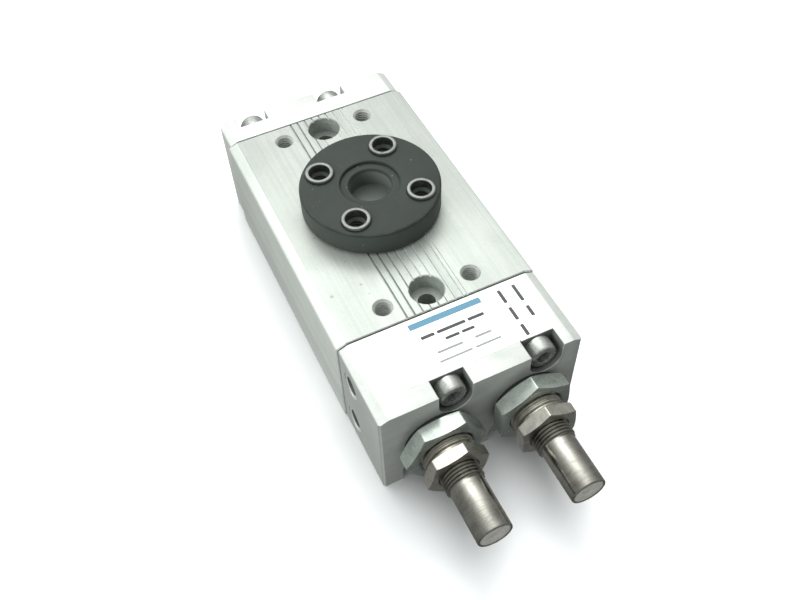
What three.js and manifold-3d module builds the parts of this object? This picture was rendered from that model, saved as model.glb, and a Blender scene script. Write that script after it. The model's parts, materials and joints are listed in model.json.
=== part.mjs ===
// Rotary pneumatic actuator: twin piston racks either side of a vertical pinion, a flanged output
// on top, and two adjustable hydraulic end stops screwed into the front cap.
// Millimetres. +Z up, +X across the width, the end stops point to -Y.
// Origin: on the swivel axis, in the plane of the underside.
import * as THREE from 'three';
import { mergeVertices } from 'three/addons/utils/BufferGeometryUtils.js';
import Module from 'manifold-3d';

const wasm = await Module();
wasm.setup();

// ---------------------------------------------------------------- driving dimensions
const BODY_HALF_W = 32;          // housing half width (X)
const BODY_H = 37;               // housing height (Z)
const BODY_HALF_L = 45.8;        // housing half length (Y)
const EDGE_CH_W = 3.2;           // long top edge chamfer, across
const EDGE_CH_H = 1.35;          // long top edge chamfer, down
const GASKET_T = 0.4;            // cap gasket thickness
const FRONT_CAP_FACE = -73.3;    // outer face of front cap (Y)
const REAR_CAP_FACE = 57.3;      // outer face of rear cap (Y)
const FRONT_CAP_HALF_W = 31.6;
const REAR_CAP_HALF_W = 31.2;

const BORE_X = 14.3;             // cylinder axes, also end stop axes and threaded hole columns
const BORE_Z = 18.5;             // cylinder axes height
const BORE_R = 8.05;             // cylinder bore, nominal 16
const PISTON_R = 7.95;

const MODULE = 1.25;             // gear module
const PINION_TEETH = 16;
const PITCH_R = MODULE * PINION_TEETH / 2;   // 10
const ADDENDUM = 1.1;
const DEDENDUM = 1.5;
const TOOTH_HALF = (Math.PI * MODULE / 2 - 0.14) / 2;   // half tooth thickness on the pitch line
const PRESSURE = 20 * Math.PI / 180;

const FLANGE_R = 22;
const FLANGE_Z0 = 38.0;
const FLANGE_Z1 = 46.2;
const HUB_R = 9.85;
const SLEEVE_PCR = 16.2;         // radius of the circle of centring sleeves
const SLEEVE_ANGLE = -39.2;      // first sleeve at rest, degrees
const SLEEVE_TOP = 47.2;

const SEAT_R = 16.05;            // bearing seats, nominal 32
const UP_SEAT_Z = 28.5;
const BEARING_W = 7;

const MOUNT_HOLE_Y = 38.75;      // counterbored holes on the centre line
const THREAD_HOLE_Y = 39;        // M6 holes, 28.6 x 78 pattern

const SCREW_Z = 32.3;            // cap screws, upper row; lower row mirrored about mid height
const SCREW_X_IN = -8.5;
const SCREW_X_OUT = 20.1;
const FRONT_SEAT_Y = -67.2;      // underside of front cap screw heads
const REAR_SEAT_Y = 52.5;

const LOCK_AF = 22;              // lock nut on the stop sleeve
const STOP_AF = 17;              // hex on the stop sleeve
const SWING_OFFSET = 5.8;        // output angle at rest away from mid swivel, degrees
const HALF_SWING = 22.5;

// ---------------------------------------------------------------- solid helpers
function solid(geometry) {
  const g = geometry.index ? geometry.clone() : geometry;
  g.deleteAttribute('normal');
  g.deleteAttribute('uv');
  const m = mergeVertices(g, 1e-5);
  const build = (flip) => {
    const tri = new Uint32Array(m.index.array.length);
    for (let i = 0; i < tri.length; i += 3) {
      tri[i] = m.index.array[i];
      tri[i + 1] = m.index.array[i + (flip ? 2 : 1)];
      tri[i + 2] = m.index.array[i + (flip ? 1 : 2)];
    }
    return new wasm.Manifold(new wasm.Mesh({
      numProp: 3,
      vertProperties: new Float32Array(m.attributes.position.array),
      triVerts: tri,
    }));
  };
  const s = build(false);
  return s.volume() < 0 ? build(true) : s;
}

function toGeometry(man) {
  const mesh = man.getMesh();
  const g = new THREE.BufferGeometry();
  g.setAttribute('position', new THREE.BufferAttribute(new Float32Array(mesh.vertProperties), 3));
  g.setIndex(new THREE.BufferAttribute(new Uint32Array(mesh.triVerts), 1));
  g.computeVertexNormals();
  return g;
}

const D = Math.PI / 180;

function box(x0, x1, y0, y1, z0, z1) {
  const g = new THREE.BoxGeometry(x1 - x0, y1 - y0, z1 - z0);
  g.translate((x0 + x1) / 2, (y0 + y1) / 2, (z0 + z1) / 2);
  return solid(g);
}

// a shape drawn in X,Z and pushed along Y
function pushY(points, y0, y1) {
  const s = new THREE.Shape(points.map(([x, z]) => new THREE.Vector2(x, z)));
  const g = new THREE.ExtrudeGeometry(s, { depth: y1 - y0, bevelEnabled: false, steps: 1 });
  g.rotateX(Math.PI / 2);
  g.translate(0, y1, 0);
  return solid(g);
}

// a shape drawn in X,Y and pushed along Z
function pushZ(points, z0, z1) {
  const s = new THREE.Shape(points.map(([x, y]) => new THREE.Vector2(x, y)));
  const g = new THREE.ExtrudeGeometry(s, { depth: z1 - z0, bevelEnabled: false, steps: 1 });
  g.translate(0, 0, z0);
  return solid(g);
}

// turned profile, [radius, height] pairs
function turn(profile, seg) {
  return new THREE.LatheGeometry(profile.map(([r, h]) => new THREE.Vector2(r, h)), seg);
}

function turnZ(profile, x, y, seg) {
  const g = turn(profile, seg);
  g.rotateX(Math.PI / 2);
  g.translate(x, y, 0);
  return solid(g);
}

function turnY(profile, x, z, seg) {
  const g = turn(profile, seg);
  g.translate(x, 0, z);
  return solid(g);
}

const cylZ = (r, z0, z1, x = 0, y = 0, seg = 24) => turnZ([[0, z0], [r, z0], [r, z1], [0, z1]], x, y, seg);
const cylY = (r, y0, y1, x, z, seg = 24) => turnY([[0, y0], [r, y0], [r, y1], [0, y1]], x, z, seg);
const ringZ = (ri, ro, z0, z1, x = 0, y = 0, seg = 24) =>
  turnZ([[ri, z0], [ro, z0], [ro, z1], [ri, z1], [ri, z0]], x, y, seg);
const ringY = (ri, ro, y0, y1, x, z, seg = 24) =>
  turnY([[ri, y0], [ro, y0], [ro, y1], [ri, y1], [ri, y0]], x, z, seg);

function cylX(r, x0, x1, y, z, seg = 24) {
  const g = turn([[0, x0], [r, x0], [r, x1], [0, x1]], seg);
  g.rotateZ(-Math.PI / 2);
  g.translate(0, y, z);
  return solid(g);
}

// hexagon in X,Z; turn = angle of one flat's normal from +Z towards +X
function hexY(af, turnDeg, y0, y1, x, z) {
  const r = af / Math.sqrt(3);
  const pts = [];
  for (let i = 0; i < 6; i++) {
    const a = (turnDeg + 30 + 60 * i) * D;
    pts.push([x + r * Math.sin(a), z + r * Math.cos(a)]);
  }
  return pushY(pts, y0, y1);
}

const all = (list) => list.reduce((a, b) => a.add(b));
const cut = (a, list) => list.reduce((s, b) => s.subtract(b), a);

// ---------------------------------------------------------------- scene graph
const actuator = new THREE.Group();
actuator.name = 'rotary_actuator';

const finish = {
  alu: { color: 0xd9ddd8, roughness: 0.45, metalness: 1.0 },
  aluCap: { color: 0xdcdfdb, roughness: 0.42, metalness: 1.0 },
  blackAnodised: { color: 0x2c302d, roughness: 0.5, metalness: 0.6 },
  steel: { color: 0xb4b5ae, roughness: 0.3, metalness: 1.0 },
  zinc: { color: 0x9fa9a2, roughness: 0.38, metalness: 1.0 },
  nickel: { color: 0xb3aea4, roughness: 0.28, metalness: 1.0 },
  bearing: { color: 0xc2c4c4, roughness: 0.18, metalness: 1.0 },
  rubber: { color: 0x1d1e1e, roughness: 0.8, metalness: 0.0 },
  label: { color: 0xf2f4f3, roughness: 0.5, metalness: 0.0 },
  magnet: { color: 0x3a3634, roughness: 0.55, metalness: 0.3 },
};

function piece(name, man, look, parent = actuator) {
  const mesh = new THREE.Mesh(toGeometry(man), new THREE.MeshStandardMaterial(look));
  mesh.name = name;
  parent.add(mesh);
  return mesh;
}

// ---------------------------------------------------------------- housing
const GROOVES = [-9.55, -7.1, -4.5, -1.9, 0.7, 3.3, 5.9, 8.4, 9.7];
function bodyOutline(halfW, top, chW, chH, grooves) {
  const p = [];
  p.push([-halfW + 0.6, 0], [halfW - 0.6, 0], [halfW, 0.6], [halfW, top - chH], [halfW - chW, top]);
  for (const g of [...grooves].reverse()) {
    p.push([g + 0.36, top], [g + 0.12, top - 0.65], [g - 0.12, top - 0.65], [g - 0.36, top]);
  }
  p.push([-halfW + chW, top], [-halfW, top - chH], [-halfW, 0.6]);
  return p;
}
const frontScrews = [
  [SCREW_X_IN, SCREW_Z], [SCREW_X_OUT, SCREW_Z],
  [-SCREW_X_IN, BODY_H - SCREW_Z], [-SCREW_X_OUT, BODY_H - SCREW_Z]];
const rearScrews = frontScrews.map(([x, z]) => [-x, z]);

let housing = pushY(bodyOutline(BODY_HALF_W, BODY_H, EDGE_CH_W, EDGE_CH_H, GROOVES), -BODY_HALF_L, BODY_HALF_L);
housing = cut(housing, [
  cylY(BORE_R, -BODY_HALF_L - 1, BODY_HALF_L + 1, -BORE_X, BORE_Z),
  cylY(BORE_R, -BODY_HALF_L - 1, BODY_HALF_L + 1, BORE_X, BORE_Z),
  // pinion chamber, bearing seats, circlip groove and cover recess, turned in one setting
  turnZ([[0, -1], [22.1, -1], [22.1, 2], [SEAT_R, 2], [SEAT_R, 9.05], [11.7, 9.05], [11.7, UP_SEAT_Z - 0.6], [12.6, UP_SEAT_Z - 0.6], [12.6, UP_SEAT_Z],
    [SEAT_R, UP_SEAT_Z], [SEAT_R, 35.6], [17, 35.6], [17, 38], [0, 38]], 0, 0, 24),
]);
for (const s of [-1, 1]) {
  housing = cut(housing, [
    cylZ(5.25, 31.3, 38, 0, s * MOUNT_HOLE_Y, 16),
    cylZ(2.75, -1, 32, 0, s * MOUNT_HOLE_Y, 12),
  ]);
  for (const x of [-BORE_X, BORE_X]) {
    housing = housing.subtract(cylZ(2.6, 28.2, 38, x, s * THREAD_HOLE_Y, 12));
  }
}
for (const [x, z] of frontScrews) housing = housing.subtract(cylY(2.6, -BODY_HALF_L - 1, -25.5, x, z, 12));
for (const [x, z] of rearScrews) housing = housing.subtract(cylY(2.6, 31, BODY_HALF_L + 1, x, z, 12));
const COVER_SCREWS = [90, 210, 330].map((a) => [19 * Math.cos(a * D), 19 * Math.sin(a * D)]);
for (const [x, y] of COVER_SCREWS) housing = housing.subtract(cylZ(1.3, 1, 8.5, x, y, 8));
piece('housing', housing, finish.alu);

// ---------------------------------------------------------------- gaskets
function gasket(y0, y1, screws) {
  let g = pushY([[-30.9, 0.5], [30.9, 0.5], [30.9, 35.4], [28.3, 36.55], [-28.3, 36.55], [-30.9, 35.4]], y0, y1);
  for (const x of [-BORE_X, BORE_X]) g = g.subtract(cylY(BORE_R + 0.25, y0 - 1, y1 + 1, x, BORE_Z, 16));
  for (const [x, z] of screws) g = g.subtract(cylY(2.8, y0 - 1, y1 + 1, x, z, 8));
  return g;
}
const FY1 = -BODY_HALF_L - GASKET_T;
const RY0 = BODY_HALF_L + GASKET_T;
piece('front_gasket', gasket(FY1, -BODY_HALF_L, frontScrews), finish.rubber);
piece('rear_gasket', gasket(BODY_HALF_L, RY0, rearScrews), finish.rubber);

// ---------------------------------------------------------------- end caps
// U pocket for a cap screw head, open to the nearer long face and to the cap's outer face
function screwPocket(x, z, y0, y1) {
  const r = 5.2;
  const up = z > BODY_H / 2;
  const p = [];
  for (let i = 0; i <= 8; i++) {
    const a = (up ? 180 : 0) * D + i / 8 * Math.PI;
    p.push([x + r * Math.cos(a), z + r * Math.sin(a)]);
  }
  if (up) p.push([x + r, BODY_H + 2], [x - r, BODY_H + 2]); else p.push([x - r, -2], [x + r, -2]);
  return pushY(p, y0, y1);
}
const PORT_Y = -53.6;
let frontCap = pushY(bodyOutline(FRONT_CAP_HALF_W, BODY_H, 3.0, 1.3, []), FRONT_CAP_FACE, FY1);
// small chamfer down both front corners
for (const s of [-1, 1]) {
  const w = s * FRONT_CAP_HALF_W;
  frontCap = frontCap.subtract(pushZ([[w - s * 0.7, FRONT_CAP_FACE - 0.01], [w + s, FRONT_CAP_FACE - 1], [w + s * 0.01, FRONT_CAP_FACE + 0.7]], -1, 38));
  frontCap = frontCap.subtract(cylY(BORE_R, FRONT_CAP_FACE - 1, FY1 + 1, s * BORE_X, BORE_Z));
}
for (const [x, z] of frontScrews) {
  frontCap = cut(frontCap, [screwPocket(x, z, FRONT_CAP_FACE - 1, FRONT_SEAT_Y), cylY(2.6, FRONT_SEAT_Y - 1, FY1 + 1, x, z, 12)]);
}
frontCap = cut(frontCap, [
  // supply ports on the left side: spot face, tapped hole, and the passage to each cylinder
  cylX(4.2, -33, -31.3, PORT_Y, 27.7, 20), cylX(2.25, -33, -24.6, PORT_Y, 27.7, 12),
  cylX(4.2, -33, -31.3, PORT_Y, 9.4, 20), cylX(2.25, -33, -24.6, PORT_Y, 9.4, 12),
  cylX(1.3, -26, -13, PORT_Y, 9.7, 8),
  cylX(1.2, -26, BORE_X + 1.2, PORT_Y, 29.2, 8),
  cylZ(1.2, 25.5, 33.5, BORE_X, PORT_Y, 8),
  cylZ(2.05, 32, 38, BORE_X, PORT_Y, 12),
]);
piece('front_cap', frontCap, finish.aluCap);
piece('cross_passage_plug', cylZ(1.95, 32.2, 36.8, BORE_X, PORT_Y, 12), finish.steel);

let rearCap = pushY(bodyOutline(REAR_CAP_HALF_W, BODY_H, 2.8, 1.3, []), RY0, REAR_CAP_FACE);
for (const s of [-1, 1]) {
  const w = s * REAR_CAP_HALF_W;
  rearCap = rearCap.subtract(pushZ([[w - s * 0.7, REAR_CAP_FACE + 0.01], [w + s * 0.01, REAR_CAP_FACE - 0.7], [w + s, REAR_CAP_FACE + 1]], -1, 38));
  rearCap = rearCap.subtract(cylY(BORE_R, RY0 - 1, RY0 + 4.3, s * BORE_X, BORE_Z));
}
for (const [x, z] of rearScrews) {
  rearCap = cut(rearCap, [screwPocket(x, z, REAR_SEAT_Y, REAR_CAP_FACE + 1), cylY(2.6, RY0 - 1, REAR_SEAT_Y + 1, x, z, 12)]);
}
piece('rear_cap', rearCap, finish.aluCap);

// cap screws: socket head, shank into the housing. dir = which way the head faces along Y
function capScrew(x, z, seat, len, dir) {
  const y = (a) => seat + dir * a;
  let s = turnY([[0, y(-len)], [2.45, y(-len)], [2.45, y(0)], [4.25, y(0)], [4.25, y(5)], [0, y(5)]], x, z, 12);
  const lo = Math.min(y(2.5), y(6));
  const hi = Math.max(y(2.5), y(6));
  return s.subtract(hexY(4, 12, lo, hi, x, z));
}
['upper_inner', 'upper_outer', 'lower_inner', 'lower_outer'].forEach((n, i) => {
  piece(`front_cap_screw_${n}`, capScrew(frontScrews[i][0], frontScrews[i][1], FRONT_SEAT_Y, 40, -1), finish.steel);
});
['upper_inner', 'upper_outer', 'lower_inner', 'lower_outer'].forEach((n, i) => {
  piece(`rear_cap_screw_${n}`, capScrew(rearScrews[i][0], rearScrews[i][1], REAR_SEAT_Y, 20, 1), finish.steel);
});

// ---------------------------------------------------------------- labels on the front cap
piece('type_label', box(-28.6, 15.1, -66.9, -46.7, BODY_H, BODY_H + 0.12), finish.label);
piece('side_label', cut(box(15.2, 27.6, -68.4, -46.7, BODY_H, BODY_H + 0.12),
  [box(SCREW_X_OUT - 5.3, SCREW_X_OUT + 5.3, -70, FRONT_SEAT_Y - 0.1, 36, 38)]), finish.label);

// ---------------------------------------------------------------- bottom cover
const coverHole = (x, y) => turnZ([[0, -1], [3.05, -1], [3.05, 0.0], [1.55, 1.5], [1.55, 3], [0, 3]], x, y, 12);
let cover = cylZ(22, 0, 1.95, 0, 0, 24);
for (const [x, y] of COVER_SCREWS) cover = cover.subtract(coverHole(x, y));
piece('bottom_cover', cover, finish.alu);
COVER_SCREWS.forEach(([x, y], i) => {
  const s = turnZ([[0, 0.15], [2.75, 0.15], [1.2, 1.7], [1.2, 8], [0, 8]], x, y, 12)
    .subtract(turnZ([[0, 0], [0.95, 0], [0.95, 1.2], [0, 1.2]], x, y, 6));
  piece(`cover_screw_${i + 1}`, s, finish.steel);
});

// ---------------------------------------------------------------- bearings
const BALL_PCR = 13;
const BALL_R = 1.7;
const BALLS = 8;
function bearing(prefix, z0) {
  const zm = z0 + BEARING_W / 2;
  const z1 = z0 + BEARING_W;
  piece(`${prefix}_bearing_outer_ring`, turnZ([[15.85, z0], [15.85, z1], [14.1, z1], [14.1, zm + 1.6],
    [15.05, zm + 0.9], [15.05, zm - 0.9], [14.1, zm - 1.6], [14.1, z0], [15.85, z0]], 0, 0, 16), finish.bearing);
  piece(`${prefix}_bearing_inner_ring`, turnZ([[10.08, z0], [11.9, z0], [11.9, zm - 1.6], [11.05, zm - 0.9],
    [11.05, zm + 0.9], [11.9, zm + 1.6], [11.9, z1], [10.08, z1], [10.08, z0]], 0, 0, 16), finish.bearing);
  let cage = ringZ(12.35, 13.6, zm - 0.7, zm + 0.7, 0, 0, 16);
  for (let i = 0; i < BALLS; i++) {
    const b = new THREE.SphereGeometry(BALL_R, 6, 4);
    b.rotateX(Math.PI / 2);
    const a = i * 360 / BALLS * D;
    b.translate(BALL_PCR * Math.cos(a), BALL_PCR * Math.sin(a), zm);
    cage = cage.add(solid(b));
  }
  piece(`${prefix}_bearing_ball_cage`, cage, finish.bearing);
}
bearing('upper', UP_SEAT_Z);
bearing('lower', 2.0);

// circlip over the upper bearing
const circlip = ringZ(14.0, 16.7, 35.65, 36.5, 0, 0, 24).subtract(box(-4, 4, 10, 20, 35, 37));
piece('upper_bearing_circlip', circlip, finish.steel);

// ---------------------------------------------------------------- rotor
const rotor = new THREE.Group();
actuator.add(rotor);

const inv = (a) => Math.tan(a) - a;
function pinionOutline() {
  const rb = PITCH_R * Math.cos(PRESSURE);
  const ra = PITCH_R + ADDENDUM;
  const rf = PITCH_R - DEDENDUM;
  const half = (r) => TOOTH_HALF / PITCH_R + inv(PRESSURE) - inv(Math.acos(Math.min(1, rb / r)));
  const radii = [rf, rb, PITCH_R + 0.05, ra];
  const pts = [];
  for (let t = 0; t < PINION_TEETH; t++) {
    const c = t * 2 * Math.PI / PINION_TEETH;
    for (const r of radii) pts.push([r * Math.cos(c - half(Math.max(r, rb))), r * Math.sin(c - half(Math.max(r, rb)))]);
    for (const r of [...radii].reverse()) pts.push([r * Math.cos(c + half(Math.max(r, rb))), r * Math.sin(c + half(Math.max(r, rb)))]);
  }
  return pts;
}
let pinion = all([
  pushZ(pinionOutline(), 11.2, 25.8),
  turnZ([[0, 2.2], [HUB_R, 2.2], [HUB_R, 9.0], [10.9, 9.0], [10.9, 9.4], [8.4, 11.2], [8.4, 25.8],
    [10.9, 27.6], [10.9, 28.5], [0, 28.5]], 0, 0, 16),
]);
pinion = cut(pinion, [
  cylZ(5.3, 1, 8.4, 0, 0, 16),          // recess for the clamp screw head
  cylZ(3.25, 7, 30, 0, 0, 12),
  cylZ(1.6, 22.5, 30, 7.2, 0, 10),
  cylZ(1.6, 22.5, 30, -7.2, 0, 10),
]);
piece('pinion_shaft', pinion, finish.steel, rotor);

const sleevePos = [0, 1, 2, 3].map((i) => {
  const a = (SLEEVE_ANGLE + 90 * i) * D;
  return [SLEEVE_PCR * Math.cos(a), SLEEVE_PCR * Math.sin(a)];
});
let flange = turnZ([
  [0, 28.5], [HUB_R, 28.5], [HUB_R, 35.5], [12, 35.5], [12, FLANGE_Z0], [FLANGE_R, FLANGE_Z0],
  [FLANGE_R, FLANGE_Z1 - 0.7], [FLANGE_R - 0.7, FLANGE_Z1],
  [9.4, FLANGE_Z1], [9.25, FLANGE_Z1 - 1.0], [6.6, FLANGE_Z1 - 1.0], [6.6, 38.2], [0, 38.2]], 0, 0, 32);
for (const [x, y] of sleevePos) {
  flange = flange.subtract(turnZ([[0, 36.5], [2.6, 36.5], [2.6, 44.1], [4.6, 44.1], [4.6, 48], [0, 48]], x, y, 16));
}
flange = cut(flange, [
  cylZ(2.95, 27, 36.2, 0, 0, 12),
  cylZ(1.6, 27, 33.4, 7.2, 0, 10),
  cylZ(1.6, 27, 33.4, -7.2, 0, 10),
]);
piece('output_flange', flange, finish.blackAnodised, rotor);
sleevePos.forEach(([x, y], i) => {
  piece(`centring_sleeve_${i + 1}`, ringZ(3.2, 4.5, 44.15, SLEEVE_TOP, x, y, 16), finish.steel, rotor);
});
piece('flange_clamp_screw', cut(turnZ([[0, 2.4], [4.9, 2.4], [4.9, 8.3], [2.9, 8.3], [2.9, 36.0], [0, 36.0]], 0, 0, 12), [cylZ(2.5, 1, 5.4, 0, 0, 6)]), finish.steel, rotor);
piece('drive_pin_left', cylZ(1.5, 22.6, 33.3, -7.2, 0, 10), finish.steel, rotor);
piece('drive_pin_right', cylZ(1.5, 22.6, 33.3, 7.2, 0, 10), finish.steel, rotor);

// ---------------------------------------------------------------- pistons with racks
// cutter on the pinion side of the right hand rack; a tooth space faces the swivel axis at rest
function rackCutter(side) {
  const p = Math.PI * MODULE;
  const tip = PITCH_R - ADDENDUM;
  const root = PITCH_R + DEDENDUM;
  const halfAt = (x) => TOOTH_HALF + (x - PITCH_R) * Math.tan(PRESSURE);
  const end = 3.5 * p;
  const pts = [[0, -end - 2]];
  pts.push([tip, -end - 2]);
  for (let k = -3; k <= 2; k++) {
    const c = (k + 0.5) * p;   // centre of a rack tooth
    pts.push([root, c - halfAt(root)], [tip, c - halfAt(tip)], [tip, c + halfAt(tip)], [root, c + halfAt(root)]);
  }
  pts.splice(1, 1);
  pts.splice(1, 0, [tip, -end - 2], [root, -end - 2]);
  pts.splice(1, 1);
  pts.push([root, end + 2], [0, end + 2]);
  const q = pts.map(([x, y]) => [side * x, y]);
  return pushZ(side > 0 ? q : q.reverse(), BORE_Z - 10, BORE_Z + 10);
}
const REST_SHIFT = PITCH_R * SWING_OFFSET * D;     // piston offset from mid stroke at rest
const PISTON_HALF = 38;
function pistonSet(name, side) {
  const shift = side * REST_SHIFT;                 // left piston sits forward, right one back
  const y0 = -PISTON_HALF + shift;
  const y1 = PISTON_HALF + shift;
  const x = side * BORE_X;
  let p = turnY([[0, y0], [PISTON_R - 0.5, y0], [PISTON_R, y0 + 0.5], [PISTON_R, y1 - 0.5], [PISTON_R - 0.5, y1], [0, y1]], x, BORE_Z, 24);
  p = p.subtract(rackCutter(side));
  const seals = [['front', y0 + 3.2, y0 + 5.6], ['rear', y1 - 5.6, y1 - 3.2]];
  for (const [, a, b] of seals) p = p.subtract(ringY(6.2, 9, a, b, x, BORE_Z, 16));
  const m0 = y1 - 10.6;
  const m1 = y1 - 7.4;
  p = p.subtract(ringY(5.4, 9, m0, m1, x, BORE_Z, 16));
  piece(`${name}_piston_rack`, p, finish.steel);
  for (const [n, a, b] of seals) piece(`${name}_piston_seal_${n}`, ringY(6.35, 7.9, a + 0.1, b - 0.1, x, BORE_Z, 16), finish.rubber);
  piece(`${name}_piston_magnet`, ringY(5.55, 7.8, m0 + 0.1, m1 - 0.1, x, BORE_Z, 16), finish.magnet);
  return y0;
}
const leftFront = pistonSet('left', -1);
const rightFront = pistonSet('right', 1);

// ---------------------------------------------------------------- end stops with shock absorbers
const STOP_FACE = -PISTON_HALF - PITCH_R * HALF_SWING * D - 0.02;   // where a piston lands
const WASHER_Y = -74.8;
function endStop(name, side, o) {
  const x = side * BORE_X;
  piece(`${name}_sealing_washer`, ringY(8.15, 10.2, WASHER_Y, FRONT_CAP_FACE, x, BORE_Z), finish.rubber);
  piece(`${name}_lock_nut`, cut(hexY(LOCK_AF, o.nutTurn, WASHER_Y - 5.1, WASHER_Y, x, BORE_Z)
    ,
  [cylY(8.05, -90, -70, x, BORE_Z)]), finish.zinc);
  const s = cut(all([
    turnY([[0, o.hexY0 + 0.4], [7.95, o.hexY0 + 0.4], [7.95, -62], [7.0, -61.2], [7.0, STOP_FACE], [0, STOP_FACE]], x, BORE_Z, 24),
    hexY(STOP_AF, o.hexTurn, o.hexY0, o.hexY1, x, BORE_Z),
  ]), [cylY(6.05, -95, -40, x, BORE_Z)]);
  piece(`${name}_stop_sleeve`, s, finish.nickel);
  // threaded absorber cartridge with a smooth adjusting end
  const b = o.endY;
  let body = turnY([[0, b], [5.0, b], [5.3, b + 0.3], [5.3, o.threadY], [5.95, o.threadY], [5.95, -46], [0, -46]], x, BORE_Z, 24);
  body = body.subtract(cylY(2.1, -72, -45, x, BORE_Z, 12));
  body = body.subtract(cylY(4.75, b - 1, b + 1.5, x, BORE_Z, 24));
  if (o.flat) body = body.subtract(box(x + 4.75, x + 6.5, b + 3, o.threadY - 2.5, BORE_Z - 1.3, BORE_Z + 1.3));
  piece(`${name}_absorber_body`, body, finish.nickel);
  piece(`${name}_absorber_end_plug`, cylY(4.65, b + 0.2, b + 1.45, x, BORE_Z, 24), finish.steel);
  const tip = o.pistonFront - 0.05;
  piece(`${name}_absorber_plunger`, turnY([[0, tip - 22], [2.0, tip - 22], [2.0, tip], [0, tip]], x, BORE_Z, 12), finish.steel);
}
endStop('left', -1, { nutTurn: -2.8, hexTurn: -15, hexY0: -87.0, hexY1: -83.2, endY: -107.2, threadY: -91.5, pistonFront: leftFront, flat: false });
endStop('right', 1, { nutTurn: 28, hexTurn: -34, hexY0: -87.4, hexY1: -83.6, endY: -107.6, threadY: -91.9, pistonFront: rightFront, flat: true });

export default actuator;
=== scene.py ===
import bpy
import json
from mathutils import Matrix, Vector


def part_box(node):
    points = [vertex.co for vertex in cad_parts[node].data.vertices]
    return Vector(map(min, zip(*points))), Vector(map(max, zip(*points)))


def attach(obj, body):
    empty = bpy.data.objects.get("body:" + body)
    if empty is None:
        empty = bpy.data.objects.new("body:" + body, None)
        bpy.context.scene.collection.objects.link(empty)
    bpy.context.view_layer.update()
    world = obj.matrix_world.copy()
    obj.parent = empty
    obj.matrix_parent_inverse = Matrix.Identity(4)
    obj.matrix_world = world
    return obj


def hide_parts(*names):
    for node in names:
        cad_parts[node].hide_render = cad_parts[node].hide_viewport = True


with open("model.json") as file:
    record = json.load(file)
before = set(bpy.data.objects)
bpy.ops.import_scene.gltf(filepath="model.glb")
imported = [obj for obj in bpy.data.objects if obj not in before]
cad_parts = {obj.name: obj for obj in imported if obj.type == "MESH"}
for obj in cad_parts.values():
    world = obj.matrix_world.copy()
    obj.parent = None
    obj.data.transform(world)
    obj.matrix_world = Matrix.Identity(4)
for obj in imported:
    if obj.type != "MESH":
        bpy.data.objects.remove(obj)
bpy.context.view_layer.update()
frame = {"nodes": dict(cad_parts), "record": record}

import json
import math
import random
import bpy
import bmesh
from mathutils import Matrix, Vector

random.seed(11)
MM = 0.001
D = math.pi / 180

# ------------------------------------------------------------------ sizes, from the frame where it has them
H_LO, H_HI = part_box("housing")
HW = round(H_HI[0] / MM, 3)               # housing half width
HH = round(H_HI[2] / MM, 3)               # housing height
HY0, HY1 = round(H_LO[1] / MM, 3), round(H_HI[1] / MM, 3)
FC_LO, FC_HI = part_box("front_cap")
RC_LO, RC_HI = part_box("rear_cap")
FCW, FCY0, FCY1 = round(FC_HI[0] / MM, 3), round(FC_LO[1] / MM, 3), round(FC_HI[1] / MM, 3)
RCW, RCY0, RCY1 = round(RC_HI[0] / MM, 3), round(RC_LO[1] / MM, 3), round(RC_HI[1] / MM, 3)
BORE_X, BORE_Z, BORE_R = 14.3, 18.5, 8.05
FLANGE_R, FLANGE_Z0, FLANGE_Z1 = 22.0, 38.0, 46.2
SLEEVE_PCR, SLEEVE_ANGLE, SLEEVE_TOP = 16.2, -39.2, 47.2
MOUNT_HOLE_Y, THREAD_HOLE_Y = 38.75, 39.0
SCREW_Z, SCREW_X_IN, SCREW_X_OUT = 32.3, -8.5, 20.1
FRONT_SEAT_Y, REAR_SEAT_Y = -67.2, 52.5
PORT_Y, PORT_Z = -53.6, (27.7, 9.4)
MARKS = [(-25.9, -28.7, 0.75), (-16.4, -28.4, 0.6), (-15.6, -32.6, 0.4), (-29.4, -17.9, 0.4), (-17.2, -18.4, 0.3)]
SCREWS_FRONT = [(SCREW_X_IN, SCREW_Z), (SCREW_X_OUT, SCREW_Z), (-SCREW_X_IN, HH - SCREW_Z), (-SCREW_X_OUT, HH - SCREW_Z)]
SCREWS_REAR = [(-x, z) for x, z in SCREWS_FRONT]
RIB_WIDTH = {-9.55: 0.30, -7.1: 0.27, -4.5: 0.24, -1.9: 0.24, 0.7: 0.22, 3.3: 0.22, 5.9: 0.22, 8.4: 0.24, 9.7: 0.24}
GROOVES = [-9.55, -7.1, -4.5, -1.9, 0.7, 3.3, 5.9, 8.4, 9.7]

# ------------------------------------------------------------------ mesh helpers (millimetres in, metres out)
def make_object(name, bm, smooth=35):
    bmesh.ops.remove_doubles(bm, verts=bm.verts, dist=1e-8)
    bmesh.ops.recalc_face_normals(bm, faces=bm.faces)
    me = bpy.data.meshes.new(name)
    bm.to_mesh(me)
    bm.free()
    ob = bpy.data.objects.new(name, me)
    bpy.context.scene.collection.objects.link(ob)
    if smooth:
        shade(ob, smooth)
    return ob


def shade(ob, angle):
    me = ob.data
    for p in me.polygons:
        p.use_smooth = True
    me.set_sharp_from_angle(angle=angle * D)


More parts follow.
